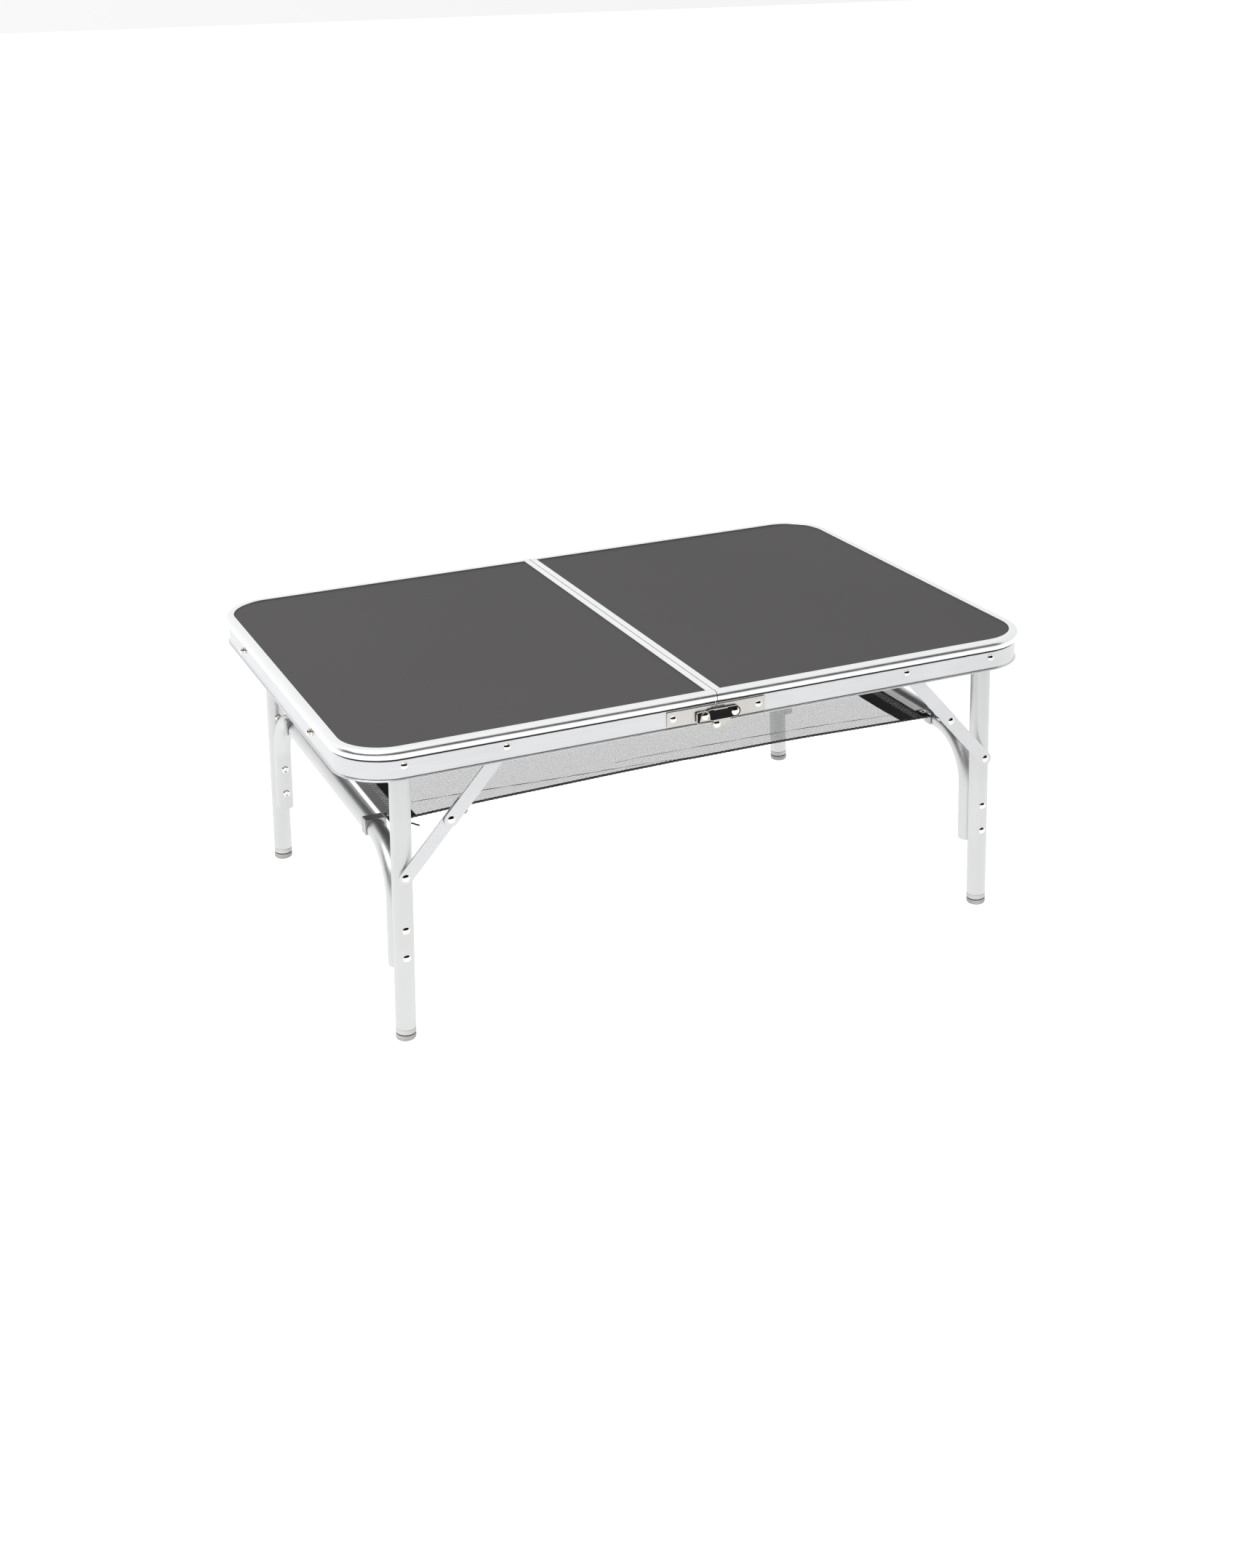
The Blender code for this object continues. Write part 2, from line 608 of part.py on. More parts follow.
def make_foot_cap(name, face, mat, parent):
    """Screw foot: a stem inside the collar and a cap whose sole is level with the floor."""
    below = -(LEG_TO_FLOOR + 0.0010)
    top = -(LEG_TO_FLOOR - FOOT_CAP_HEIGHT)
    neck = LEG_RADIUS * 0.80
    step = top + FOOT_RING - FIT
    profile = [(0, step + FOOT_STEM), (FOOT_STEM_RADIUS, step + FOOT_STEM), (FOOT_STEM_RADIUS, step)]
    profile += [(neck, step), (neck, top), (LEG_RADIUS, top), (LEG_RADIUS, below + 0.0038)]
    profile += [(LEG_RADIUS - 0.0018, below), (0, below)]
    cap = turned_piece(name, profile, mat, (0, face * LEG_Y, 0), (0, 0, 0), parent, False, TUBE_STEPS)
    low, high = (-1, -1, -0.02), (1, 1, 0)
    tool = add_object(f"{name}_floor", block_mesh("floor", low, high))
    boolean(cap, as_tool(tool), "DIFFERENCE")
    return cap


# ---------------------------------------------------------------- braces

def brace_points(side):
    """World X and Z of the brace's pivots on the frame and on the leg, and of its middle joint."""
    upper = Vector((side * BRACE_X, PIVOT_Z))
    pivot = Vector((side * PIVOT_X, PIVOT_Z))
    lower = pivot + BRACE_ON_LEG * Vector((side * math.sin(SPLAY), -math.cos(SPLAY)))
    span = (lower - upper).length
    folded = BRACE_ON_LEG - BRACE_SPACING
    upper_length = (span + folded) / 2
    middle = upper + (lower - upper) * (upper_length / span)
    return upper, middle, lower


def capsule(length, radius):
    """Outline of a flat bar with round ends, from x = 0 to x = length."""
    outline = arc((0, 0), radius, 90, 270)
    outline += arc((length, 0), radius, -90, 90)
    return outline


def link_axis(name, start, end):
    """Axis on a pivot, with its X along the link."""
    angle = math.atan2(-(end.y - start.y), end.x - start.x)
    return add_axis(name, (start.x, 0, start.y), (0, angle, 0))


def make_upper_link(name, face, length, mat, parent):
    """Outer flat bar, with the headed half of the middle rivet fused to its free end."""
    hole = circle((0, 0), RIVET_RADIUS + PIN_FIT)
    mesh = plate_mesh(name, capsule(length, LINK_WIDTH / 2), [hole], LINK_THICKNESS)
    link = add_object(name, mesh, mat, parent, (0, face * UPPER_LINK_Y, 0))
    overlap = LINK_THICKNESS / 2
    collar = UPPER_LINK_OUTER - LINK_THICKNESS - LINK_GAP / 2 + FIT
    profile = dome(HEAD_RADIUS, UPPER_LINK_OUTER - overlap, HEAD_HEIGHT + overlap)
    profile += [(HEAD_RADIUS, collar), (0, collar)]
    fuse_turned(link, f"{name}_head", profile, (length, 0), face, parent)
    return link


def make_lower_link(name, side, face, length, mat, parent):
    """Inner flat bar: pivots on the leg, runs past the middle joint and ends in a bent stop tab."""
    radius = LINK_WIDTH / 2
    hole = circle((0, 0), RIVET_RADIUS + PIN_FIT)
    mesh = plate_mesh(name, capsule(length + STOP_REACH, radius), [hole], LINK_THICKNESS)
    link = add_object(name, mesh, mat, parent, (0, face * LOWER_LINK_Y, 0))
    collar = LOWER_LINK_OUTER + LINK_GAP / 2 - FIT
    tail = LOWER_LINK_OUTER - LINK_THICKNESS - RIVET_TAIL_INSIDE
    profile = [(0, collar), (HEAD_RADIUS, collar), (HEAD_RADIUS, tail), (0, tail)]
    fuse_turned(link, f"{name}_tail", profile, (length, 0), face, parent)
    tab = stop_tab_mesh(f"{name}_tab", side, face)
    middle = length + STOP_REACH - 1.5 * STOP_TAB_LENGTH
    tool = add_object(f"{name}_tab", tab, parent=parent, location=(middle, 0, 0))
    boolean(link, as_tool(tool), "UNION")
    return link


def stop_tab_mesh(name, side, face):
    """L-shaped tab on the link's edge that faces the middle of the table, reaching over the upper link."""
    root = LOWER_LINK_OUTER - LINK_THICKNESS + 0.0001
    front = LOWER_LINK_OUTER - 0.0001
    edge = LINK_WIDTH / 2 + 2 * FIT
    outer_edge = edge + LINK_THICKNESS
    outline = [(root, edge * 0.6), (front, edge * 0.6), (front, edge), (UPPER_LINK_OUTER, edge)]
    outline += [(UPPER_LINK_OUTER, outer_edge), (root, outer_edge)]
    place = Matrix(((0, 0, 1, 0), (face, 0, 0, 0), (0, side, 0, 0), (0, 0, 0, 1)))
    return plate_mesh(name, outline, [], STOP_TAB_LENGTH, place)


# ---------------------------------------------------------------- centre hinges and latches

def plate_z(depth):
    """Height of a depth below the panel's surface, measured from the hinge axis."""
    return PANEL_HEIGHT - depth - HINGE_Z


def left_plate_outline():
    """Left plate about the hinge axis: a strip with a round lobe hanging at its seam end."""
    top = plate_z(HINGE_PLATE_TOP)
    bottom = plate_z(HINGE_PLATE_BOTTOM)
    seam = -SEAM_GAP / 2
    outer = -HINGE_PLATE_LENGTH
    shoulder = math.degrees(math.asin(bottom / HINGE_LOBE_RADIUS))
    meet = math.degrees(math.acos(seam / HINGE_LOBE_RADIUS))
    outline = [(outer, top), (seam, top)]
    outline += arc((0, 0), HINGE_LOBE_RADIUS, meet, -180 - shoulder, 16)
    outline += [(outer, bottom)]
    return outline


def right_plate_outline():
    """Right plate about the hinge axis, hollowed round the left plate's lobe."""
    top = plate_z(HINGE_PLATE_TOP)
    bottom = plate_z(HINGE_PLATE_BOTTOM)
    seam = SEAM_GAP / 2
    clear = HINGE_LOBE_RADIUS + FIT
    shoulder = math.degrees(math.asin(bottom / clear))
    meet = math.degrees(math.acos(seam / clear))
    outline = [(HINGE_PLATE_LENGTH, top), (seam, top)]
    outline += arc((0, 0), clear, meet, shoulder, 4)
    outline += [(HINGE_PLATE_LENGTH, bottom)]
    return outline


def plate_rivet(inner, outer_face, reach):
    """Rivet fused to a hinge plate: head outside, shank through the skirt, tail inside it."""
    tail = SKIRT_INNER - FIT
    profile = dome(HEAD_RADIUS, outer_face - inner, reach + inner)
    profile += [(HEAD_RADIUS, PLATE_INNER + 0.0004), (RIVET_RADIUS, PLATE_INNER + 0.0004)]
    profile += [(RIVET_RADIUS, tail), (HEAD_RADIUS, tail), (HEAD_RADIUS, tail - TAIL_HEIGHT)]
    profile += [(0, tail - TAIL_HEIGHT)]
    return profile


def make_left_hinge_plate(name, face, mat):
    hole = circle((0, 0), RIVET_RADIUS + PIN_FIT)
    mesh = plate_mesh(name, left_plate_outline(), [hole], HINGE_PLATE_THICKNESS)
    plate = add_object(name, mesh, mat, None, (0, face * (PLATE_INNER + PLATE_OUTER) / 2, HINGE_Z))
    height = HINGE_Z + plate_z(HINGE_RIVET_DEPTH)
    fuse_turned(plate, f"{name}_rivet", plate_rivet(0.0005, PLATE_OUTER, HEAD_HEIGHT),
                (-HINGE_RIVET_FROM_SEAM, height), face)
    return plate


def make_right_hinge_plate(name, face, mat, parent):
    """Right plate with an outer arm that reaches over the left lobe, and the latch's pivot."""
    mesh = plate_mesh(name, right_plate_outline(), [], HINGE_PLATE_THICKNESS)
    plate = add_object(name, mesh, mat, parent, (0, face * (PLATE_INNER + PLATE_OUTER) / 2, 0))
    fuse_turned(plate, f"{name}_rivet", plate_rivet(0.0005, PLATE_OUTER, HEAD_HEIGHT),
                (HINGE_RIVET_FROM_SEAM, plate_z(HINGE_RIVET_DEPTH)), face, parent)
    add_hinge_arm(plate, name, face, parent)
    add_latch_pivot(plate, name, face, parent)
    return plate


def add_hinge_arm(plate, name, face, parent):
    arm_rise = plate_z(HINGE_PLATE_BOTTOM) + HINGE_ARM_RISE
    hole = circle((0, 0), RIVET_RADIUS + PIN_FIT)
    outline = arc((0, 0), HINGE_LOBE_RADIUS, 80, 300, 14)
    outline += [(HINGE_ARM_LENGTH + 0.0045, 0.0005), (HINGE_ARM_LENGTH + 0.0045, arm_rise)]
    outline += [(HINGE_ARM_LENGTH - 0.0030, arm_rise)]
    arm_mesh = plate_mesh(f"{name}_arm", outline, [hole], HINGE_PLATE_THICKNESS)
    arm = add_object(f"{name}_arm", arm_mesh, parent=parent,
                     location=(0, face * (ARM_INNER + ARM_OUTER) / 2, 0))
    boolean(plate, as_tool(arm), "UNION")
    y = sorted((face * (PLATE_INNER + 0.0005), face * (ARM_OUTER - 0.0005)))
    bottom = plate_z(HINGE_PLATE_BOTTOM)
    boss = block_mesh("boss", (HINGE_ARM_LENGTH - 0.0020, y[0], bottom + 0.0006),
                      (HINGE_ARM_LENGTH + 0.0035, y[1], arm_rise - 0.0008))
    tool = add_object(f"{name}_boss", boss, parent=parent)
    boolean(plate, as_tool(tool), "UNION")


def add_latch_pivot(plate, name, face, parent):
    """Fixed post with a shoulder behind the lever and a head in front of it."""
    shoulder = HALF_WIDTH + LEVER_INNER - FIT
    head = HALF_WIDTH + LEVER_OUTER + FIT
    profile = dome(HEAD_RADIUS, head, HALF_WIDTH + LATCH_REACH - head)
    profile += [(RIVET_RADIUS, head), (RIVET_RADIUS, shoulder), (HEAD_RADIUS, shoulder)]
    profile += [(HEAD_RADIUS, PLATE_OUTER - 0.0005), (0, PLATE_OUTER - 0.0005)]
    fuse_turned(plate, f"{name}_post", profile, (LATCH_PIVOT_FROM_SEAM, plate_z(LATCH_DEPTH)), face, parent)


def make_latch_stud(name, face, mat):
    """Stud that the closed lever hooks over, standing on the left plate."""
    base = PLATE_OUTER + FIT
    tip = HALF_WIDTH + LATCH_REACH
    profile = dome(STUD_RADIUS, tip - 0.0016, 0.0016)
    profile += [(STUD_RADIUS, base), (0, base)]
    location = (-LATCH_STUD_FROM_SEAM, 0, PANEL_HEIGHT - LATCH_DEPTH)
    return turned_piece(name, profile, mat, location, outward(face))


def make_hinge_pin(name, face, mat):
    """Rivet through both lobes, flush with the inner one because the skirt is right behind it."""
    base = ARM_OUTER + FIT
    profile = dome(HEAD_RADIUS, base, HALF_WIDTH + LATCH_REACH - base)
    profile += [(RIVET_RADIUS, base), (RIVET_RADIUS, PLATE_INNER), (0, PLATE_INNER)]
    return turned_piece(name, profile, mat, (0, 0, HINGE_Z), outward(face))


def lever_outline():
    """Latch lever about its pivot, reaching along -X, with a notch open downwards at its end."""
    radius = LEVER_RADIUS
    reach = LATCH_PIVOT_FROM_SEAM + LATCH_STUD_FROM_SEAM
    notch = STUD_RADIUS + STUD_FIT
    left = -reach - notch
    hook = left - HOOK_WIDTH
    # the hook's inner side leans outwards, so that it clears the stud as the lever rises
    flare = 0.0022
    outline = arc((0, 0), radius, -90, 90)
    outline += [(-reach + notch + 0.0010, radius), (-reach + notch - 0.0010, radius - 0.0010)]
    outline += [(hook + 0.0015, radius - 0.0010), (hook, radius - 0.0028), (hook, -radius + 0.0006)]
    outline += [(hook + 0.0022, -radius - 0.0010), (left - flare + 0.0004, -radius - 0.0002)]
    outline += arc((-reach, 0), notch, 180, 0, 8)
    outline += [(-reach + notch + 0.0006, -radius + 0.0012), (-reach + notch + 0.0026, -radius)]
    return outline


def make_lever(name, face, mat, parent):
    """Latch lever with its thumb tab bent outwards on the upper edge."""
    hole = circle((0, 0), RIVET_RADIUS + PIN_FIT)
    mesh = plate_mesh(name, lever_outline(), [hole], LEVER_THICKNESS)
    middle = HALF_WIDTH + (LEVER_INNER + LEVER_OUTER) / 2
    lever = add_object(name, mesh, mat, parent, (0, face * middle, 0))
    y = sorted((face * (HALF_WIDTH + LEVER_INNER + 0.0002), face * (HALF_WIDTH + LATCH_REACH - 0.0002)))
    tab = block_mesh("thumb_tab", (-0.0290, y[0], LEVER_RADIUS - 0.0012),
                     (-0.0105, y[1], LEVER_RADIUS + 0.0008))
    tool = add_object(f"{name}_tab", tab, parent=parent)
    boolean(lever, as_tool(tool), "UNION")
    return lever


# ---------------------------------------------------------------- ends of the case

def make_end_catch(name, face, mat):
    """Stud riveted through the left end skirt."""
    skirt = HALF_LENGTH - SKIRT_INSET
    tip = HALF_LENGTH + LATCH_REACH
    tail = skirt - SKIRT_WALL - FIT
    profile = dome(STUD_RADIUS, tip - 0.0016, 0.0016)
    profile += [(STUD_RADIUS, skirt + FIT), (RIVET_RADIUS, skirt + FIT), (RIVET_RADIUS, tail)]
    profile += [(HEAD_RADIUS, tail), (HEAD_RADIUS, tail - TAIL_HEIGHT), (0, tail - TAIL_HEIGHT)]
    location = (0, face * CASE_HALF_SPACING, PANEL_HEIGHT - CATCH_DEPTH)
    return turned_piece(name, profile, mat, location, (0, -math.pi / 2, 0))


def add_case_post(frame, name, face, parent):
    """Post that a case latch hangs from, fixed in the right end skirt."""
    skirt = HALF_LENGTH - SKIRT_INSET
    shoulder = HALF_LENGTH + LEVER_INNER - FIT
    head = HALF_LENGTH + LEVER_OUTER + FIT
    profile = dome(HEAD_RADIUS, head, HALF_LENGTH + LATCH_REACH - head)
    profile += [(RIVET_RADIUS, head), (RIVET_RADIUS, shoulder), (HEAD_RADIUS, shoulder)]
    profile += [(HEAD_RADIUS, skirt - SKIRT_WALL / 2), (0, skirt - SKIRT_WALL / 2)]
    location = (0, face * CASE_HALF_SPACING, local_z(PANEL_HEIGHT - CATCH_DEPTH, parent))
    tool = add_object(name, profile_mesh(name, profile, False), parent=parent, location=location,
                      rotation=(0, math.pi / 2, 0))
    turn_profile(tool)
    boolean(frame, as_tool(tool), "UNION")


def make_case_latch(name, face, mat, parent):
    """The same lever as at the centre, lying towards the middle of the right end."""
    hole = circle((0, 0), RIVET_RADIUS + PIN_FIT)
    place = Matrix(((0, 0, 1, 0), (face, 0, 0, 0), (0, 1, 0, 0), (0, 0, 0, 1)))
    mesh = plate_mesh(name, lever_outline(), [hole], LEVER_THICKNESS, place)
    return add_object(name, mesh, mat, parent)


def make_bracket(name, face, mat, parent):
    """Saddle on the right end skirt that carries one end of the handle."""
    skirt = HALF_LENGTH - SKIRT_INSET
    outer = HALF_LENGTH + LATCH_REACH
    height = local_z(PANEL_HEIGHT - HANDLE_PIVOT_DEPTH, parent)
    half = 0.0050
    y_mid = face * HANDLE_LENGTH / 2
    low = (skirt + FIT, y_mid - BRACKET_WIDTH / 2, height - half)
    high = (outer, y_mid + BRACKET_WIDTH / 2, height + half)
    bracket = add_object(name, block_mesh(name, low, high), mat, parent)
    arm = HANDLE_BAR / 2 + FIT
    room = block_mesh("arm_room", (skirt - 0.001, y_mid - arm, height - 0.02),
                      (outer + 0.001, y_mid + arm, height + arm + 0.0006))
    tool = add_object(f"{name}_arm_room", room, parent=parent)
    boolean(bracket, as_tool(tool), "DIFFERENCE")
    x_pin = skirt + (outer - skirt) / 2
    drill(bracket, f"{name}_pin_hole", (x_pin, height), HANDLE_PIN_RADIUS + PIN_FIT,
          y_mid - BRACKET_WIDTH, y_mid + BRACKET_WIDTH, parent)
    return bracket


def make_handle(name, mat, parent):
    """Bail handle: a square bar bent twice, with a pin through each end and a thicker grip."""
    half = HANDLE_LENGTH / 2
    bar = HANDLE_BAR / 2
    pieces = {"grip": ((-bar, -half - bar, -HANDLE_DROP), (bar, half + bar, -HANDLE_DROP + 0.0100))}
    for face in (-1, 1):
        pieces[f"arm{face}"] = ((-bar, face * half - bar, -HANDLE_DROP + 0.0040),
                                (bar, face * half + bar, bar))
    grip = add_object(name, block_mesh(name, *pieces.pop("grip")), mat, parent)
    for part, (low, high) in pieces.items():
        tool = add_object(f"{name}_{part}", block_mesh(part, low, high), parent=parent)
        boolean(grip, as_tool(tool), "UNION")
    for face in (-1, 1):
        reach = BRACKET_WIDTH / 2
        profile = [(0, half + reach), (HANDLE_PIN_RADIUS, half + reach)]
        profile += [(HANDLE_PIN_RADIUS, half - reach), (0, half - reach)]
        fuse_turned(grip, f"{name}_pin{face}", profile, (0, 0), face, parent)
    return grip


# ---------------------------------------------------------------- net shelf

def make_net(name, mat):
    """Plain slab that stands for the net shelf between the two crossbars."""
    bar_x = PIVOT_X + BAR_BELOW_PIVOT * math.sin(SPLAY)
    half_length = bar_x - BAR_RADIUS - CLIP_WALL - STRIP_WIDTH - NET_END_CLEARANCE
    half_width = BAR_STRAIGHT + NET_TO_BAR_BEND
    middle = PIVOT_Z - BAR_BELOW_PIVOT * math.cos(SPLAY) + BAR_RADIUS - NET_THICKNESS
    low = (-half_length, -half_width, middle - NET_THICKNESS / 2)
    high = (half_length, half_width, middle + NET_THICKNESS / 2)
    return add_object(name, block_mesh(name, low, high), mat)


def make_net_strip(name, side, mat, parent):
    """Flat bar in the net's end hem, beside the crossbar. The parent lies on the crossbar's centre line."""
    start = -side * (BAR_RADIUS + CLIP_WALL + 2 * FIT)
    x = sorted((start, start - side * STRIP_WIDTH))
    half = BAR_STRAIGHT - CLIP_FROM_BEND - CLIP_WIDTH / 2 - 0.004
    top = BAR_RADIUS - NET_THICKNESS / 2
    low = (x[0], -half, top - STRIP_THICKNESS)
    high = (x[1], half, top)
    return add_object(name, block_mesh(name, low, high), mat, parent)


def make_clip(name, side, face, mat, parent):
    """Spring saddle that turns on the crossbar, with a tongue that holds the net's end."""
    inner = BAR_RADIUS + FIT
    outer = inner + CLIP_WALL
    tongue = 0.0150
    mouth = 360 - 55 - 60
    outline = arc((0, 0), outer, 18, mouth, 14)
    outline += arc((0, 0), inner, mouth, 0, 14)
    outline += [(outer + tongue, -0.0040), (outer + tongue, 0.0000), (outer + tongue - 0.0016, 0.0000)]
    outline += [(outer + tongue - 0.0016, -0.0026), (outer + 0.0020, 0.0012)]
    outline = [(-side * x, z) for x, z in outline]
    mesh = plate_mesh(name, outline, [], CLIP_WIDTH)
    return add_object(name, mesh, mat, parent, (0, face * (BAR_STRAIGHT - CLIP_FROM_BEND), 0))


# ---------------------------------------------------------------- assembly

def build_half(label, side, mats, parent):
    make_edge_frame(f"{label}_edge_frame", side, mats["frame"], parent)
    make_panel(f"{label}_panel", side, mats["panel"], parent)
    make_seam_strip(f"{label}_seam_strip", side, mats["frame"], parent)
    for where, face in FACES.items():
        make_leg_pivot(f"{label}_{where}_leg_pivot", side, face, mats["chrome"], parent)
        make_brace_rivet(f"{label}_{where}_brace_rivet", side, face, mats["chrome"], parent)


def build_leg_frame(label, side, mats):
    axis = add_axis(f"{label}_leg_axis", (side * PIVOT_X, 0, PIVOT_Z), (0, -side * SPLAY, 0))
    make_crossbar(f"{label}_crossbar", mats["tube"], axis)
    bar_axis = add_axis(f"{label}_net_bar_axis", (0, 0, -BAR_BELOW_PIVOT), parent=axis)
    make_net_strip(f"{label}_net_strip", side, mats["frame"], bar_axis)
    for where, face in FACES.items():
        make_leg(f"{label}_{where}_leg", face, mats["tube"], axis)
        make_foot_collar(f"{label}_{where}_foot_collar", face, mats["collar"], axis)
        make_foot_cap(f"{label}_{where}_foot_cap", face, mats["foot"], axis)
        make_clip(f"{label}_{where}_net_clip", side, face, mats["clip"], bar_axis)


def build_braces(label, side, mats):
    upper, middle, lower = brace_points(side)
    upper_axis = link_axis(f"{label}_upper_link_axis", upper, middle)
    lower_axis = link_axis(f"{label}_lower_link_axis", lower, middle)
    for where, face in FACES.items():
        make_upper_link(f"{label}_{where}_upper_link", face, (middle - upper).length, mats["link"],
                        upper_axis)
        make_lower_link(f"{label}_{where}_lower_link", side, face, (lower - middle).length, mats["link"],
                        lower_axis)


def build_hinges(mats, fold_axis):
    for where, face in FACES.items():
        make_left_hinge_plate(f"{where}_left_hinge_plate", face, mats["plate"])
        make_right_hinge_plate(f"{where}_right_hinge_plate", face, mats["plate"], fold_axis)
        make_hinge_pin(f"{where}_hinge_pin", face, mats["chrome"])
        make_latch_stud(f"{where}_latch_stud", face, mats["chrome"])
        pivot = (LATCH_PIVOT_FROM_SEAM, 0, plate_z(LATCH_DEPTH))
        axis = add_axis(f"{where}_latch_axis", pivot, parent=fold_axis)
        make_lever(f"{where}_latch_lever", face, mats["lever"], axis)


def build_ends(mats, fold_axis):
    for where, face in FACES.items():
        make_end_catch(f"{where}_end_catch", face, mats["chrome"])
        make_bracket(f"{where}_handle_bracket", face, mats["plate"], fold_axis)
        place = (HALF_LENGTH + (LEVER_INNER + LEVER_OUTER) / 2, face * CASE_HALF_SPACING,
                 local_z(PANEL_HEIGHT - CATCH_DEPTH, fold_axis))
        axis = add_axis(f"{where}_case_latch_axis", place, parent=fold_axis)
        make_case_latch(f"{where}_case_latch", face, mats["lever"], axis)
    skirt = HALF_LENGTH - SKIRT_INSET
    x_pin = skirt + (HALF_LENGTH + LATCH_REACH - skirt) / 2
    place = (x_pin, 0, local_z(PANEL_HEIGHT - HANDLE_PIVOT_DEPTH, fold_axis))
    axis = add_axis("handle_axis", place, parent=fold_axis)
    make_handle("carry_handle", mats["handle"], axis)


def main():
    start_scene()
    mats = {
        "panel": material("dark_panel", (0.105, 0.098, 0.100), 0.45, 0.0),
        "frame": material("anodised_edge", (0.82, 0.83, 0.84), 0.32, 0.9),
        "tube": material("anodised_tube", (0.84, 0.85, 0.85), 0.35, 0.9),
        "link": material("link_steel", (0.70, 0.72, 0.74), 0.35, 0.9),
        "plate": material("hinge_steel", (0.68, 0.70, 0.72), 0.35, 0.9),
        "chrome": material("rivet_chrome", (0.85, 0.83, 0.80), 0.08, 1.0),
        "lever": material("lever_black", (0.010, 0.010, 0.012), 0.15, 0.2),
        "handle": material("handle_black", (0.015, 0.015, 0.016), 0.45, 0.0),
        "clip": material("clip_zinc", (0.50, 0.50, 0.51), 0.40, 0.9),
        "collar": material("collar_grey", (0.42, 0.40, 0.39), 0.50, 0.0),
        "foot": material("foot_grey", (0.12, 0.11, 0.11), 0.55, 0.0),
        "net": material("net_black", (0.015, 0.015, 0.016), 0.80, 0.0),
    }
    fold_axis = add_axis("top_fold_axis", (0, 0, HINGE_Z))
    build_half("left", SIDES["left"], mats, None)
    build_half("right", SIDES["right"], mats, fold_axis)
    build_hinges(mats, fold_axis)
    build_ends(mats, fold_axis)
    for label, side in SIDES.items():
        build_leg_frame(label, side, mats)
        build_braces(label, side, mats)
    make_net("net", mats["net"])


main()
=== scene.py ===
"""Folding camp kitchen table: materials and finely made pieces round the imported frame.

Metres, in the frame's own axes. SIDE is -1 on the left half and +1 on the right, FACE is -1 in front
and +1 behind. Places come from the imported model's joints and node boxes.
"""
import json
import math

import bmesh
import bpy
from mathutils import Matrix, Vector


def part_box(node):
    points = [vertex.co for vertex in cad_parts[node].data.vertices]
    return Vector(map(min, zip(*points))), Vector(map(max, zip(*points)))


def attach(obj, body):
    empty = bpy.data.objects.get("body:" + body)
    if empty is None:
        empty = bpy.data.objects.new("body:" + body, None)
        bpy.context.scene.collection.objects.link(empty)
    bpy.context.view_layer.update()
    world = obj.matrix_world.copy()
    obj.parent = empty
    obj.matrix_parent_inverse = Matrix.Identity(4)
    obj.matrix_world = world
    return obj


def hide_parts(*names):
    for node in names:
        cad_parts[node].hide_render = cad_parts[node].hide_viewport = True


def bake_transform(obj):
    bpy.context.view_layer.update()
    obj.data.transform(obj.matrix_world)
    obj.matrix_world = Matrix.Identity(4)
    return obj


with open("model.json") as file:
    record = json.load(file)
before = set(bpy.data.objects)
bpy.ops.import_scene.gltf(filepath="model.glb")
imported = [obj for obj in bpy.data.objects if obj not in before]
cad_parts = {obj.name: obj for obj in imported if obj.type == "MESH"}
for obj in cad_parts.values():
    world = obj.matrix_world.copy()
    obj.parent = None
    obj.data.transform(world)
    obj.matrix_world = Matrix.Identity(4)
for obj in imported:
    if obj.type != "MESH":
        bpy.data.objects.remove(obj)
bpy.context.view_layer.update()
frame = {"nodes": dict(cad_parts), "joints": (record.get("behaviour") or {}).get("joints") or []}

# Camera, as solved for the reference view
CAMERA_PLACE = Vector((-0.9528, -2.1921, 1.1833))
CAMERA_AZIMUTH = math.radians(23.652)
CAMERA_DOWN = math.radians(23.578)
CAMERA_ROLL = math.radians(-1.195)
CAMERA_LENS = 56.366

# Fineness
TUBE_SIDES = 48
RIVET_SIDES = 32
CORNER_STEPS = 28
STRAIGHT_SHARES = (0.0, 0.02, 0.5)

SIDES = {"left": -1, "right": 1}
FACES = {"front": -1, "back": 1}
JOINT = {joint["name"]: Vector(joint["pos_m"]) for joint in frame["joints"]}


def low(node):
    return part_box(node)[0]


def high(node):
    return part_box(node)[1]


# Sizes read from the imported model
PANEL_TOP = high("left_panel").z
HALF_LENGTH = -low("left_edge_frame").x
HALF_WIDTH = high("left_edge_frame").y
SEAM = -high("left_edge_frame").x
SKIRT_FOOT = low("left_edge_frame").z
LEG_PIVOT = JOINT["right_leg_fold"]
BRACE_PIVOT = JOINT["right_upper_brace_fold"]
BRACE_ON_LEG = JOINT["right_lower_brace_fold"]
BAR_AXIS = JOINT["right_net_bar_turn"]
HINGE = JOINT["top_fold"]
SPLAY = math.atan2(BRACE_ON_LEG.x - LEG_PIVOT.x, LEG_PIVOT.z - BRACE_ON_LEG.z)
LEG_DOWN = Vector((math.sin(SPLAY), 0, -math.cos(SPLAY)))
LEG_LENGTH = LEG_PIVOT.z / math.cos(SPLAY)

# Sizes of the real pieces
LEG_RADIUS = 0.0120
LEG_WALL = 0.0013
LEG_TOP = -0.0085
LEG_RIVETS = (0.2075, 0.2430)
BAR_ALONG_LEG = 0.1233
BAR_END_ALONG_LEG = 0.2660
BAR_RADIUS = 0.0115
SKIRT_INSET = 0.0035
SKIRT_WALL = 0.0018
SKIRT_FACE = HALF_WIDTH - SKIRT_INSET
GROOVE_DEPTH = 0.0012
GROOVE_TOP = -0.0100
GROOVE_FOOT = -0.0121
CORNER_RADIUS = 0.0670
HEAD_RADIUS = 0.0047
HEAD_HEIGHT = 0.0022
SPACER_RADIUS = 0.0046
PLATE_LENGTH = 0.0640
PLATE_TOP_DEPTH = 0.0135
PLATE_HEIGHT = 0.0192
PLATE_THICKNESS = 0.0015
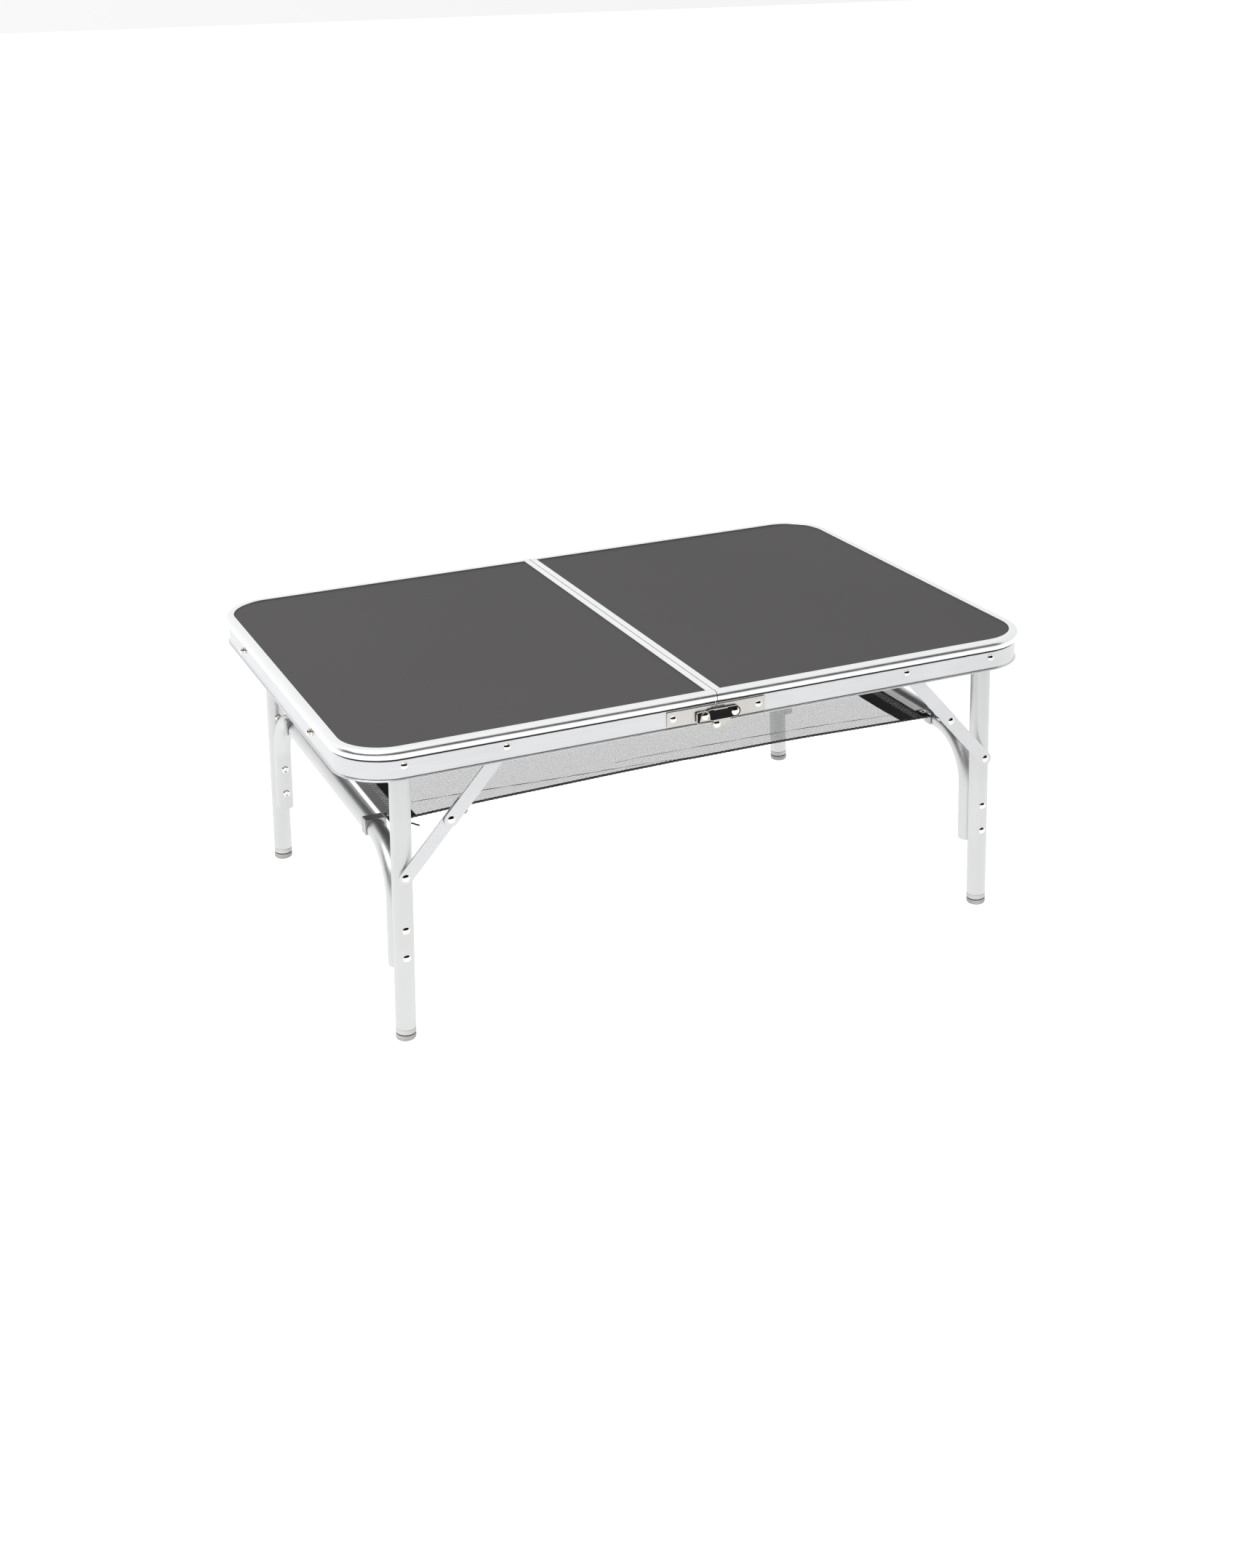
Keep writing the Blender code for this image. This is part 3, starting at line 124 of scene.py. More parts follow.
PLATE_RIVET_FROM_SEAM = 0.0556
PLATE_RIVET_DEPTH = 0.0225
HINGE_LOBE = 0.0062
LEVER_INNER = 0.0006
LEVER_OUTER = 0.0021
CASE_LATCH_REACH = -0.0394
LINK_WIDTH = 0.0170
LINK_THICKNESS = 0.0015
LINK_GAP = 0.0018
LINK_PAST_JOINT = 0.0240
UPPER_LINK_Y = SKIRT_FACE - SKIRT_WALL - 0.0019 - LINK_THICKNESS / 2
LOWER_LINK_Y = UPPER_LINK_Y - LINK_THICKNESS - LINK_GAP
LEG_Y = LOWER_LINK_Y - LINK_THICKNESS / 2 - 0.0020 - LEG_RADIUS
BAR_Y = LEG_Y - LEG_RADIUS - 0.0003 - BAR_RADIUS
BAR_BEND = 0.0650
BAR_STRAIGHT = BAR_Y - BAR_BEND


# ---------------------------------------------------------------- node helpers

def new_material(name):
    mat = bpy.data.materials.new(name)
    mat.use_nodes = True
    return mat, mat.node_tree.nodes, mat.node_tree.links


def set_inputs(node, values):
    for key, value in values.items():
        node.inputs[key].default_value = value


def noise(nodes, links, vector, scale, detail=2.0, stretch=(1, 1, 1), rough=0.5):
    mapping = nodes.new("ShaderNodeMapping")
    mapping.inputs["Scale"].default_value = stretch
    links.new(vector, mapping.inputs["Vector"])
    tex = nodes.new("ShaderNodeTexNoise")
    set_inputs(tex, {"Scale": scale, "Detail": detail, "Roughness": rough})
    links.new(mapping.outputs["Vector"], tex.inputs["Vector"])
    return tex.outputs["Fac"]


def map_range(nodes, links, value, low_to, high_to, low_from=0.3, high_from=0.7):
    node = nodes.new("ShaderNodeMapRange")
    set_inputs(node, {"From Min": low_from, "From Max": high_from, "To Min": low_to, "To Max": high_to})
    links.new(value, node.inputs["Value"])
    return node.outputs["Result"]


def mix_colour(nodes, links, factor, first, second):
    node = nodes.new("ShaderNodeMix")
    node.data_type = "RGBA"
    node.inputs["A"].default_value = (*first, 1)
    node.inputs["B"].default_value = (*second, 1)
    links.new(factor, node.inputs["Factor"])
    return node.outputs["Result"]


def bump(nodes, links, height, strength, distance, shader):
    node = nodes.new("ShaderNodeBump")
    set_inputs(node, {"Strength": strength, "Distance": distance})
    links.new(height, node.inputs["Height"])
    links.new(node.outputs["Normal"], shader.inputs["Normal"])


def surface(name, pale, deep, rough, rough_spread, metallic=0.0, grain=(700, (1, 1, 1), 0.08, 0.0002),
            patch=9.0, specular=0.5, coat=0.0):
    """A finish with cloudy colour, uneven roughness and a fine grain."""
    mat, nodes, links = new_material(name)
    shader = nodes["Principled BSDF"]
    place = nodes.new("ShaderNodeTexCoord").outputs["Object"]
    clouds = noise(nodes, links, place, patch, 4.0)
    links.new(mix_colour(nodes, links, map_range(nodes, links, clouds, 0, 1), pale, deep),
              shader.inputs["Base Color"])
    scale, stretch, strength, distance = grain
    fine = noise(nodes, links, place, scale, 3.0, stretch)
    links.new(map_range(nodes, links, fine, rough - rough_spread, rough + rough_spread),
              shader.inputs["Roughness"])
    bump(nodes, links, fine, strength, distance, shader)
    set_inputs(shader, {"Metallic": metallic, "Specular IOR Level": specular, "Coat Weight": coat})
    return mat


def net_material(name):
    """Woven black mesh: threads on two diagonals with open holes, closed along the hems and end bands, and
    along the creases as the doubled fold with painted shade.
    """
    mat, nodes, links = new_material(name)
    shader = nodes["Principled BSDF"]
    uv = nodes.new("ShaderNodeUVMap")
    uv.uv_map = "cut"
    split = nodes.new("ShaderNodeSeparateXYZ")
    links.new(uv.outputs["UV"], split.inputs["Vector"])

    def calc(operation, first, second=None):
        node = nodes.new("ShaderNodeMath")
        node.operation = operation
        for index, value in enumerate((first, second)):
            if value is None:
                continue
            if isinstance(value, (int, float)):
                node.inputs[index].default_value = value
            else:
                links.new(value, node.inputs[index])
        return node.outputs["Value"]

    def thread(direction, pitch, width):
        across = calc("ADD", split.outputs["X"], calc("MULTIPLY", split.outputs["Y"], direction))
        wave = calc("PINGPONG", across, pitch / 2)
        return calc("LESS_THAN", wave, width / 2)

    def between(value, start, end):
        return calc("MULTIPLY", calc("GREATER_THAN", value, start), calc("LESS_THAN", value, end))

    # Solid dark line along a crease: the doubled mesh in the fold, with painted shade there.
    def crease_fold_and_shade_line(crease):
        start, start_in, end, end_in = crease
        slope = (end_in - start_in) / (end - start)
        level = start_in - NET_HALF_WIDTH - slope * start
        height = calc("ADD", calc("MULTIPLY", split.outputs["X"], slope), level)
        distance = calc("ABSOLUTE", calc("SUBTRACT", split.outputs["Y"], height))
        near = calc("LESS_THAN", distance, 0.0006)
        return calc("MULTIPLY", near, between(split.outputs["X"], start, end))

    threads = calc("MAXIMUM", thread(1.15, NET_PITCH, 0.00115), thread(-1.15, NET_PITCH, 0.00045))
    hem = calc("GREATER_THAN", calc("ABSOLUTE", split.outputs["Y"]), NET_HALF_WIDTH - 0.0022)
    closed = hem
    for side, (band, stripe_start, stripe_end, strand) in NET_BANDS.items():
        inwards = calc("SUBTRACT", NET_HALF, calc("MULTIPLY", split.outputs["X"], side))
        stripe = between(inwards, stripe_start, stripe_end)
        dense = calc("MAXIMUM", thread(1.15, 0.0022, strand), thread(-1.15, 0.0022, strand))
        whole = calc("LESS_THAN", inwards, band)
        solid = calc("MULTIPLY", whole, calc("SUBTRACT", 1.0, stripe))
        closed = calc("MAXIMUM", closed, calc("MAXIMUM", solid, calc("MULTIPLY", stripe, dense)))
    # Crease lines are closed solid black: the doubled mesh of the fold, and painted shade in it.
    for crease in CREASES:
        closed = calc("MAXIMUM", closed, crease_fold_and_shade_line(crease))
    links.new(calc("MAXIMUM", threads, closed), shader.inputs["Alpha"])
    weave = noise(nodes, links, uv.outputs["UV"], 1400, 2.0)
    links.new(mix_colour(nodes, links, weave, (0.012, 0.012, 0.013), (0.045, 0.045, 0.047)),
              shader.inputs["Base Color"])
    links.new(map_range(nodes, links, weave, 0.70, 0.95), shader.inputs["Roughness"])
    bump(nodes, links, weave, 0.2, 0.0002, shader)
    shader.inputs["Specular IOR Level"].default_value = 0.25
    return mat


def floor_material():
    """Pale studio floor that glows, a little more strongly on the left: painted light in place of a lit
    floor, so shadows barely show on it.
    """
    mat, nodes, links = new_material("glowing_studio_floor")
    shader = nodes["Principled BSDF"]
    set_inputs(shader, {"Base Color": (0.10, 0.10, 0.10, 1), "Roughness": 0.9, "Specular IOR Level": 0.0,
                        "Emission Color": (1, 1, 1, 1)})
    split = nodes.new("ShaderNodeSeparateXYZ")
    links.new(nodes.new("ShaderNodeTexCoord").outputs["Object"], split.inputs["Vector"])
    # Glow is stronger on the left: painted light.
    links.new(map_range(nodes, links, split.outputs["X"], 1.05, 0.98, -0.3, 1.1),
              shader.inputs["Emission Strength"])
    return mat


# ---------------------------------------------------------------- mesh helpers

def finish_piece(obj, mat, body, nodes=(), sharp=32):
    if mat is not None:
        obj.data.materials.append(mat)
    if obj.type == "MESH":
        obj.data.shade_smooth()
        obj.data.set_sharp_from_angle(angle=math.radians(sharp))
    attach(obj, body)
    if nodes:
        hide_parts(*nodes)
    return obj


def object_from_bmesh(name, bm, outwards=True):
    if outwards:
        bmesh.ops.recalc_face_normals(bm, faces=bm.faces)
    mesh = bpy.data.meshes.new(name)
    bm.to_mesh(mesh)
    bm.free()
    obj = bpy.data.objects.new(name, mesh)
    bpy.context.scene.collection.objects.link(obj)
    return obj


def add_piece(name, bm, mat, body, nodes=(), sharp=32):
    return finish_piece(object_from_bmesh(name, bm), mat, body, nodes, sharp)


def arc(centre, radius, start, end, steps=8):
    points = []
    for step in range(steps + 1):
        angle = math.radians(start + (end - start) * step / steps)
        points.append((centre[0] + radius * math.cos(angle), centre[1] + radius * math.sin(angle)))
    return points


def lathe_into(bm, profile, origin, axis, sides=RIVET_SIDES, closed=False):
    """Turns (radius, height) points about an axis through origin and adds them to bm."""
    turn = Vector(axis).normalized().to_track_quat("Z", "Y").to_matrix()
    rings = []
    for radius, height in profile:
        if radius < 1e-7:
            rings.append([bm.verts.new(Vector(origin) + turn @ Vector((0, 0, height)))])
            continue
        ring = []
        for step in range(sides):
            angle = 2 * math.pi * step / sides
            point = Vector((radius * math.cos(angle), radius * math.sin(angle), height))
            ring.append(bm.verts.new(Vector(origin) + turn @ point))
        rings.append(ring)
    pairs = list(zip(rings, rings[1:]))
    if closed:
        pairs.append((rings[-1], rings[0]))
    for first, second in pairs:
        for step in range(sides):
            following = (step + 1) % sides
            if len(first) == 1 and len(second) == 1:
                break
            if len(first) == 1:
                bm.faces.new((first[0], second[step], second[following]))
            elif len(second) == 1:
                bm.faces.new((first[step], second[0], first[following]))
            else:
                bm.faces.new((first[step], second[step], second[following], first[following]))


def cylinder_into(bm, radius, start, end, origin, axis, sides=RIVET_SIDES):
    lathe_into(bm, [(0, start), (radius, start), (radius, end), (0, end)], origin, axis, sides)


def dome(radius, base, height, steps=10):
    """Rivet head from its crown to its rim, as a piece of a ball."""
    ball = (radius ** 2 + height ** 2) / (2 * height)
    reach = math.asin(radius / ball)
    crown = []
    for step in range(steps + 1):
        angle = reach * step / steps
        crown.append((ball * math.sin(angle), base + height - ball * (1 - math.cos(angle))))
    return crown


def head(bm, x, z, face, base, *, inner, radius=HEAD_RADIUS, height=HEAD_HEIGHT):
    """Rivet head on a face plane, with its shank and tail running inwards to inner."""
    profile = dome(radius, base, height)
    profile += [(radius * 0.64, base), (radius * 0.64, inner), (0, inner)]
    lathe_into(bm, profile, (x, 0, z), (0, face, 0))


def tail(bm, x, z, face, plane, radius=HEAD_RADIUS):
    """Rolled tail of a tubular rivet on an inner plane, facing the middle of the table."""
    ring = [(radius * 0.35, 0.0004), (radius * 0.45, 0.0011), (radius * 0.75, 0.0014),
            (radius * 0.98, 0.0009),
            (radius, 0.0), (0, 0.0)]
    lathe_into(bm, [(0, 0.0002)] + ring, (x, face * plane, z), (0, -face, 0))


def plate_object(name, outline, y_low, y_high, bevel=0.0003):
    """Flat plate standing upright between two Y planes, with softened edges."""
    bm = bmesh.new()
    verts = [bm.verts.new((x, y_low, z)) for x, z in outline]
    face = bm.faces.new(verts)
    made = bmesh.ops.extrude_face_region(bm, geom=[face])["geom"]
    moved = [g for g in made if isinstance(g, bmesh.types.BMVert)]
    bmesh.ops.translate(bm, vec=(0, y_high - y_low, 0), verts=moved)
    return soften(object_from_bmesh(name, bm), bevel)


def soften(obj, width, segments=2):
    modifier = obj.modifiers.new("softened", "BEVEL")
    modifier.width = width
    modifier.segments = segments
    modifier.limit_method = "ANGLE"
    modifier.angle_limit = math.radians(30)
    modifier.use_clamp_overlap = True
    return obj


def box_into(bm, low_corner, high_corner):
    made = bmesh.ops.create_cube(bm, size=1)["verts"]
    a, b = Vector(low_corner), Vector(high_corner)
    bmesh.ops.scale(bm, vec=b - a, verts=made)
    bmesh.ops.translate(bm, vec=(a + b) / 2, verts=made)


def bridge(bm, first, second):
    """Faces between two rings, in the rings' order."""
    made = []
    for step, vert in enumerate(first):
        following = (step + 1) % len(first)
        made.append(bm.faces.new((vert, first[following], second[following], second[step])))
    return made


def tube_into(bm, path, radius, sides=TUBE_SIDES, inner=None):
    """Round tube along a path of points, closed at its ends or open with a wall."""
    rings = []
    normal = None
    for index, point in enumerate(path):
        before = path[max(index - 1, 0)]
        after = path[min(index + 1, len(path) - 1)]
        along = (after - before).normalized()
        if normal is None:
            normal = along.orthogonal().normalized()
        normal = (normal - along * normal.dot(along)).normalized()
        side = along.cross(normal)
        for shell, size in enumerate((radius, inner) if inner else (radius,)):
            ring = [bm.verts.new(point + size * (math.cos(a) * normal + math.sin(a) * side))
                    for a in (2 * math.pi * step / sides for step in range(sides))]
            rings.append((shell, ring))
    shells = [[ring for shell, ring in rings if shell == which] for which in ((0, 1) if inner else (0,))]
    for shell in shells:
        for first, second in zip(shell, shell[1:]):
            bridge(bm, first, second)
    for end in (0, -1):
        if inner:
            bridge(bm, shells[0][end], shells[1][end])
        else:
            bm.faces.new(shells[0][end])


# ---------------------------------------------------------------- edge frames

def rim_section():
    """Edge frame's section: distance outwards from the bead's outer side, height above the panel."""
    face = -SKIRT_INSET
    inner = face - SKIRT_WALL
    foot = SKIRT_FOOT - PANEL_TOP
    section = arc((-0.0112, 0.0012), 0.0008, 180, 100, 4)
    section += arc((-0.0062, -0.0042), 0.0062, 92, 0, 14)
    section += arc((-0.0030, -0.0070), 0.0030, 0, -90, 8)
    section += [(face - GROOVE_DEPTH, GROOVE_TOP), (face - GROOVE_DEPTH, GROOVE_FOOT)]
    section += arc((face - 0.0004, GROOVE_FOOT - 0.0004), 0.0004, 90, 0, 3)
    section += [(face, GROOVE_FOOT - 0.0009), (face, foot + 0.0041), (face, foot + 0.0032)]
    section += arc((face + 0.0008, foot + 0.0011), 0.0010, 110, -70, 8)
    section += arc((inner + 0.0004, foot + 0.0004), 0.0004, -90, -180, 3)
    section += [(inner, -0.0059), (-0.0120, -0.0059), (-0.0120, -0.0043), (-0.0045, -0.0043),
                (-0.0045, 0.0003), (-0.0120, 0.0003)]
    return section


def make_edge_frame(label, side, mats):
    """Swept edge frame: plain skirt, groove in painted shade, and bead in a brighter copy of the skirt's
    finish, painted light from above.
    """
    section = rim_section()
    bm = bmesh.new()
    corner = (HALF_LENGTH - CORNER_RADIUS, HALF_WIDTH - CORNER_RADIUS)

    def heading(angle):
        return Vector((math.cos(math.radians(angle)), math.sin(math.radians(angle)), 0))

    def ring(place, angle):
        return [bm.verts.new(place + heading(angle) * u + Vector((0, 0, PANEL_TOP + z))) for u,
                z in section]

    def straight(share, edge):
        x = SEAM + share * (corner[0] - SEAM)
        return ring(Vector((x, edge * HALF_WIDTH, 0)), edge * 90)

    rings = [straight(share, -1) for share in STRAIGHT_SHARES]
    for edge, start in ((-1, -90), (1, 0)):
        for step in range(CORNER_STEPS + 1):
            angle = start + 90 * step / CORNER_STEPS
            place = Vector((corner[0], edge * corner[1], 0)) + heading(angle) * CORNER_RADIUS
            rings.append(ring(place, angle))
    rings += [straight(share, 1) for share in reversed(STRAIGHT_SHARES)]
    for first, second in zip(rings, rings[1:]):
        for index, face in enumerate(bridge(bm, first, second)):
            (u, z), (next_u, next_z) = section[index], section[(index + 1) % len(section)]
            inside = min(u, next_u) < -SKIRT_INSET - 0.9 * GROOVE_DEPTH
            lowest = min(z, next_z)
            # Faces inside the groove take the near-black finish: painted shade in the groove under the
            # bead.
            if inside and GROOVE_FOOT - 0.0001 < lowest < GROOVE_TOP + 0.0005:
                face.material_index = 1
            # Faces from the groove's top up over the bead take a brighter copy of the skirt's finish:
            # painted light from above.
            elif lowest > GROOVE_TOP - 0.00001:
                face.material_index = 2
    bm.faces.new(rings[0])
    bm.faces.new(rings[-1])
    if side < 0:
        bmesh.ops.scale(bm, vec=(-1, 1, 1), verts=bm.verts)
    rim = object_from_bmesh(f"{label}_rim", bm)
    for finish in ("skirt", "groove", "frame"):
        rim.data.materials.append(mats[finish])
    return finish_piece(rim, None, f"{label}_top", [f"{label}_edge_frame"])


# ---------------------------------------------------------------- rivets

def make_top_rivets(label, side, mat):
    """Rivets through the skirt for the legs and braces of one half."""
    spacer = SKIRT_FACE - SKIRT_WALL
    for where, face in FACES.items():
        for kind, pivot in (("leg_pivot", LEG_PIVOT), ("brace_rivet", BRACE_PIVOT)):
            node = f"{label}_{where}_{kind}"
            inner_y = min(abs(low(node).y), abs(high(node).y))
            shoulder = LEG_Y + LEG_RADIUS if kind == "leg_pivot" else UPPER_LINK_Y + LINK_THICKNESS / 2
            profile = dome(HEAD_RADIUS, SKIRT_FACE + 0.0002, HEAD_HEIGHT)
            profile += [(0.0030, SKIRT_FACE), (0.0030, spacer), (SPACER_RADIUS, spacer - 0.0003)]
            profile += [(SPACER_RADIUS, shoulder + 0.0003), (0.0030, shoulder), (0.0030, inner_y + 0.0012)]
            profile += [(0.0044, inner_y + 0.0011), (0.0040, inner_y + 0.0002), (0, inner_y + 0.0001)]
            bm = bmesh.new()
            lathe_into(bm, profile, (side * pivot.x, 0, pivot.z), (0, face, 0))
            add_piece(f"{node}_turned", bm, mat, f"{label}_top", [node])


# ---------------------------------------------------------------- leg frames

def leg_point(side, along, face_y):
    """Place on a leg frame, measured along the leg from its pivot."""
    point = LEG_PIVOT + LEG_DOWN * along
    return Vector((side * point.x, face_y, point.z))


def make_leg(label, side, where, face, mats):
    pivot = leg_point(side, 0, face * LEG_Y)
    down = Vector((side * LEG_DOWN.x, 0, LEG_DOWN.z))
    bottom = LEG_LENGTH - 0.0151
    inner = LEG_RADIUS - LEG_WALL
    bm = bmesh.new()
    edge = 0.0004
    profile = [(inner, LEG_TOP), (LEG_RADIUS - edge, LEG_TOP), (LEG_RADIUS, LEG_TOP + edge)]
    profile += [(LEG_RADIUS, 0.12), (LEG_RADIUS, 0.24), (LEG_RADIUS, bottom - edge)]
    profile += [(LEG_RADIUS - edge, bottom), (inner, bottom)]
    lathe_into(bm, profile, pivot, down, TUBE_SIDES, closed=True)
    add_piece(f"{label}_{where}_leg_tube", bm, mats["tube"], f"{label}_legs",
              [f"{label}_{where}_leg"])
    bm = bmesh.new()
    outside = LEG_Y + LEG_RADIUS - 0.0003
    for along in LEG_RIVETS:
        at = leg_point(side, along, 0)
        head(bm, at.x, at.z, face, outside, height=0.0016, inner=BAR_Y - BAR_RADIUS)
        tail(bm, at.x, at.z, face, BAR_Y - BAR_RADIUS + 0.0002)
    at = Vector((side * BRACE_ON_LEG.x, 0, BRACE_ON_LEG.z))
    head(bm, at.x, at.z, face, LOWER_LINK_Y + LINK_THICKNESS / 2 + 0.0001, height=0.0014,
         inner=LEG_Y - LEG_RADIUS)
    tail(bm, at.x, at.z, face, LEG_Y - LEG_RADIUS + 0.0002)
    cylinder_into(bm, SPACER_RADIUS, 0, 0.0022, (at.x, face * (LEG_Y + LEG_RADIUS - 0.0004), at.z),
                  (0, face, 0))
    add_piece(f"{label}_{where}_leg_rivets", bm, mats["chrome"], f"{label}_legs")
    make_foot(label, side, where, face, mats)


def make_foot(label, side, where, face, mats):
    """Collar, near-black ring in the recess between collar and cap as painted shade of that gap, and ribbed
    cap at the end of a leg.
    """
    down = Vector((side * LEG_DOWN.x, 0, LEG_DOWN.z))
    pivot = leg_point(side, 0, face * LEG_Y)
    collar_top = LEG_LENGTH - 0.0150
    bm = bmesh.new()
    r = LEG_RADIUS
    lathe_into(bm, [(0, collar_top), (r - 0.0004, collar_top), (r, collar_top + 0.0004),
                    (r, collar_top + 0.0056), (r - 0.0006, collar_top + 0.0062), (0, collar_top + 0.0062)],
               pivot, down, TUBE_SIDES)
    add_piece(f"{label}_{where}_collar", bm, mats["collar"], f"{label}_legs",
              [f"{label}_{where}_foot_collar"])
    # Near-black band in the recess between collar and cap: painted shade of the gap.
    bm = bmesh.new()
    lathe_into(bm,
               [(0, collar_top + 0.0060), (r - 0.0006, collar_top + 0.0060),
                (r - 0.0004, collar_top + 0.0068),
                    (r - 0.0006, collar_top + 0.0076), (0, collar_top + 0.0076)], pivot, down, TUBE_SIDES)
    add_piece(f"{label}_{where}_foot_ring", bm, mats["ring"], f"{label}_legs")
    make_foot_cap(label, side, where, face, mats)


def make_foot_cap(label, side, where, face, mats):
    """Ribbed cap whose sole lies flat on the floor."""
    ribs = 40
    sides = ribs * 4
    sole = leg_point(side, LEG_LENGTH, face * LEG_Y)
    top = leg_point(side, LEG_LENGTH - 0.0074, face * LEG_Y)
    down = Vector((side * LEG_DOWN.x, 0, LEG_DOWN.z))
    tilt = Vector((0, 0, -1)).rotation_difference(down).to_matrix()
    bm = bmesh.new()
    rings = []
    levels = [(0.0, 0.962, 0), (0.06, 1.0, 1), (0.66, 1.0, 1), (0.86, 0.94, 0.6), (1.0, 0.80, 0.0)]
    for share, size, rib in levels:
        ring = []
        for step in range(sides):
            angle = 2 * math.pi * step / sides
            radius = LEG_RADIUS * size - 0.00035 * rib * (0.5 - 0.5 * math.cos(ribs * angle))
            flat = Vector((radius * math.cos(angle), radius * math.sin(angle), 0))
            point = (top + tilt @ flat).lerp(sole + flat, share)
            ring.append(bm.verts.new(point))
        rings.append(ring)
    for first, second in zip(rings, rings[1:]):
        for step in range(sides):
            following = (step + 1) % sides
            bm.faces.new((first[step], second[step], second[following], first[following]))
    bm.faces.new(rings[0])
    bm.faces.new(rings[-1])
    add_piece(f"{label}_{where}_cap", bm, mats["foot"], f"{label}_legs",
              [f"{label}_{where}_foot_cap"], sharp=60)


def make_crossbar(label, side, mats):
    bend_centre = BAR_ALONG_LEG + BAR_BEND
    path = [(-BAR_Y, BAR_END_ALONG_LEG), (-BAR_Y, bend_centre + 0.004)]
    path += [(-BAR_STRAIGHT - BAR_BEND * math.cos(a), bend_centre - BAR_BEND * math.sin(a))
             for a in (math.radians(90 * step / 16) for step in range(17))]
    path += [(-BAR_STRAIGHT * share, BAR_ALONG_LEG) for share in (0.6, 0.0)]
    mirrored = [(-y, along) for y, along in reversed(path[:-1])]
    points = [leg_point(side, along, y) for y, along in path + mirrored]
    bm = bmesh.new()
    tube_into(bm, points, BAR_RADIUS, inner=BAR_RADIUS - 0.0013)
    add_piece(f"{label}_crossbar_tube", bm, mats["tube"], f"{label}_legs", [f"{label}_crossbar"])


# ---------------------------------------------------------------- braces

def link_outline(start, end, tail_length=0.0, steps=12):
    """Flat bar with round ends from one joint to another, in X and Z."""
    along = (end - start).normalized()
    across = Vector((-along.y, along.x))
    radius = LINK_WIDTH / 2
    far = end + along * tail_length
    outline = []
    for centre, turn in ((start, 90), (far, -90)):
        for step in range(steps + 1):
            angle = math.radians(turn + 180 * step / steps)
            outline.append(tuple(centre + radius * (math.cos(angle) * along + math.sin(angle) * across)))
    return outline


def make_braces(label, side, mats):
    upper = Vector((side * BRACE_PIVOT.x, BRACE_PIVOT.z))
    lower = Vector((side * BRACE_ON_LEG.x, BRACE_ON_LEG.z))
    folded = (BRACE_ON_LEG - LEG_PIVOT).length - (LEG_PIVOT.x - BRACE_PIVOT.x)
    span = (lower - upper).length
    middle = upper + (lower - upper) * ((span + folded) / 2 / span)
    along = (middle - lower).normalized()
    inwards = Vector((along.y, -along.x)) * -side
    half = LINK_THICKNESS / 2
    for where, face in FACES.items():
        y = sorted((face * (UPPER_LINK_Y - half), face * (UPPER_LINK_Y + half)))
        link = plate_object(f"{label}_{where}_upper_bar", link_outline(upper, middle), *y)
        finish_piece(link, mats["link"], f"{label}_upper_braces", [f"{label}_{where}_upper_link"])
        y = sorted((face * (LOWER_LINK_Y - half), face * (LOWER_LINK_Y + half)))
        link = plate_object(f"{label}_{where}_lower_bar", link_outline(lower, middle, LINK_PAST_JOINT), *y)
        finish_piece(link, mats["link"], f"{label}_lower_braces", [f"{label}_{where}_lower_link"])
        tab = make_stop_tab(f"{label}_{where}_stop_tab", middle + along * 0.0165, along, inwards, face)
        finish_piece(tab, mats["link"], f"{label}_lower_braces")
        bm = bmesh.new()
        head(bm, middle.x, middle.y, face, UPPER_LINK_Y + half - 0.0001, height=0.0015,
             inner=UPPER_LINK_Y - half - 0.0006)
        add_piece(f"{label}_{where}_middle_rivet", bm, mats["chrome"], f"{label}_upper_braces")
        bm = bmesh.new()
        cylinder_into(bm, SPACER_RADIUS, 0, 0.0026,
                      (middle.x, face * (LOWER_LINK_Y - half - 0.0003), middle.y), (0, face, 0))
        add_piece(f"{label}_{where}_middle_rivet_tail", bm, mats["chrome"], f"{label}_lower_braces")


def make_stop_tab(name, centre, along, inwards, face):
    """Tab bent over from the lower bar's edge, under the upper bar's edge."""
    half = 0.0025
    near, far = LINK_WIDTH / 2 - 0.0008, LINK_WIDTH / 2 + 0.0021
    gap = LINK_WIDTH / 2 + 0.0006
    root = LOWER_LINK_Y - LINK_THICKNESS / 2
    front = LOWER_LINK_Y + LINK_THICKNESS / 2
    tip = UPPER_LINK_Y + LINK_THICKNESS / 2
    section = [(near, root), (near, front), (gap, front + 0.0002), (gap, tip), (far, tip),
               (far, root + 0.0009),
               (far - 0.0009, root)]
    bm = bmesh.new()
    ends = []
    for step in (-half, half):
        ring = []
        for out, y in section:
            flat = centre + along * step + inwards * out
            ring.append(bm.verts.new((flat.x, face * y, flat.y)))
        ends.append(ring)
    bm.faces.new(ends[0])
    bm.faces.new(ends[1])
    bridge(bm, *ends)
    return soften(object_from_bmesh(name, bm), 0.0002)


# ---------------------------------------------------------------- centre hinges

def rounded(points, steps=5):
    """Outline with rounded corners: points are (x, z, radius)."""
    outline = []
    count = len(points)
    for index, (x, z, size) in enumerate(points):
        here = Vector((x, z))
        before = Vector(points[index - 1][:2])
        after = Vector(points[(index + 1) % count][:2])
        if size <= 0:
            outline.append(tuple(here))
            continue
        a, b = (before - here).normalized(), (after - here).normalized()
        reach = size / math.tan(a.angle(b) / 2)
        start, end = here + a * reach, here + b * reach
        for step in range(steps + 1):
            t = step / steps
            outline.append(tuple((1 - t) ** 2 * start + 2 * t * (1 - t) * here + t * t * end))
    return outline


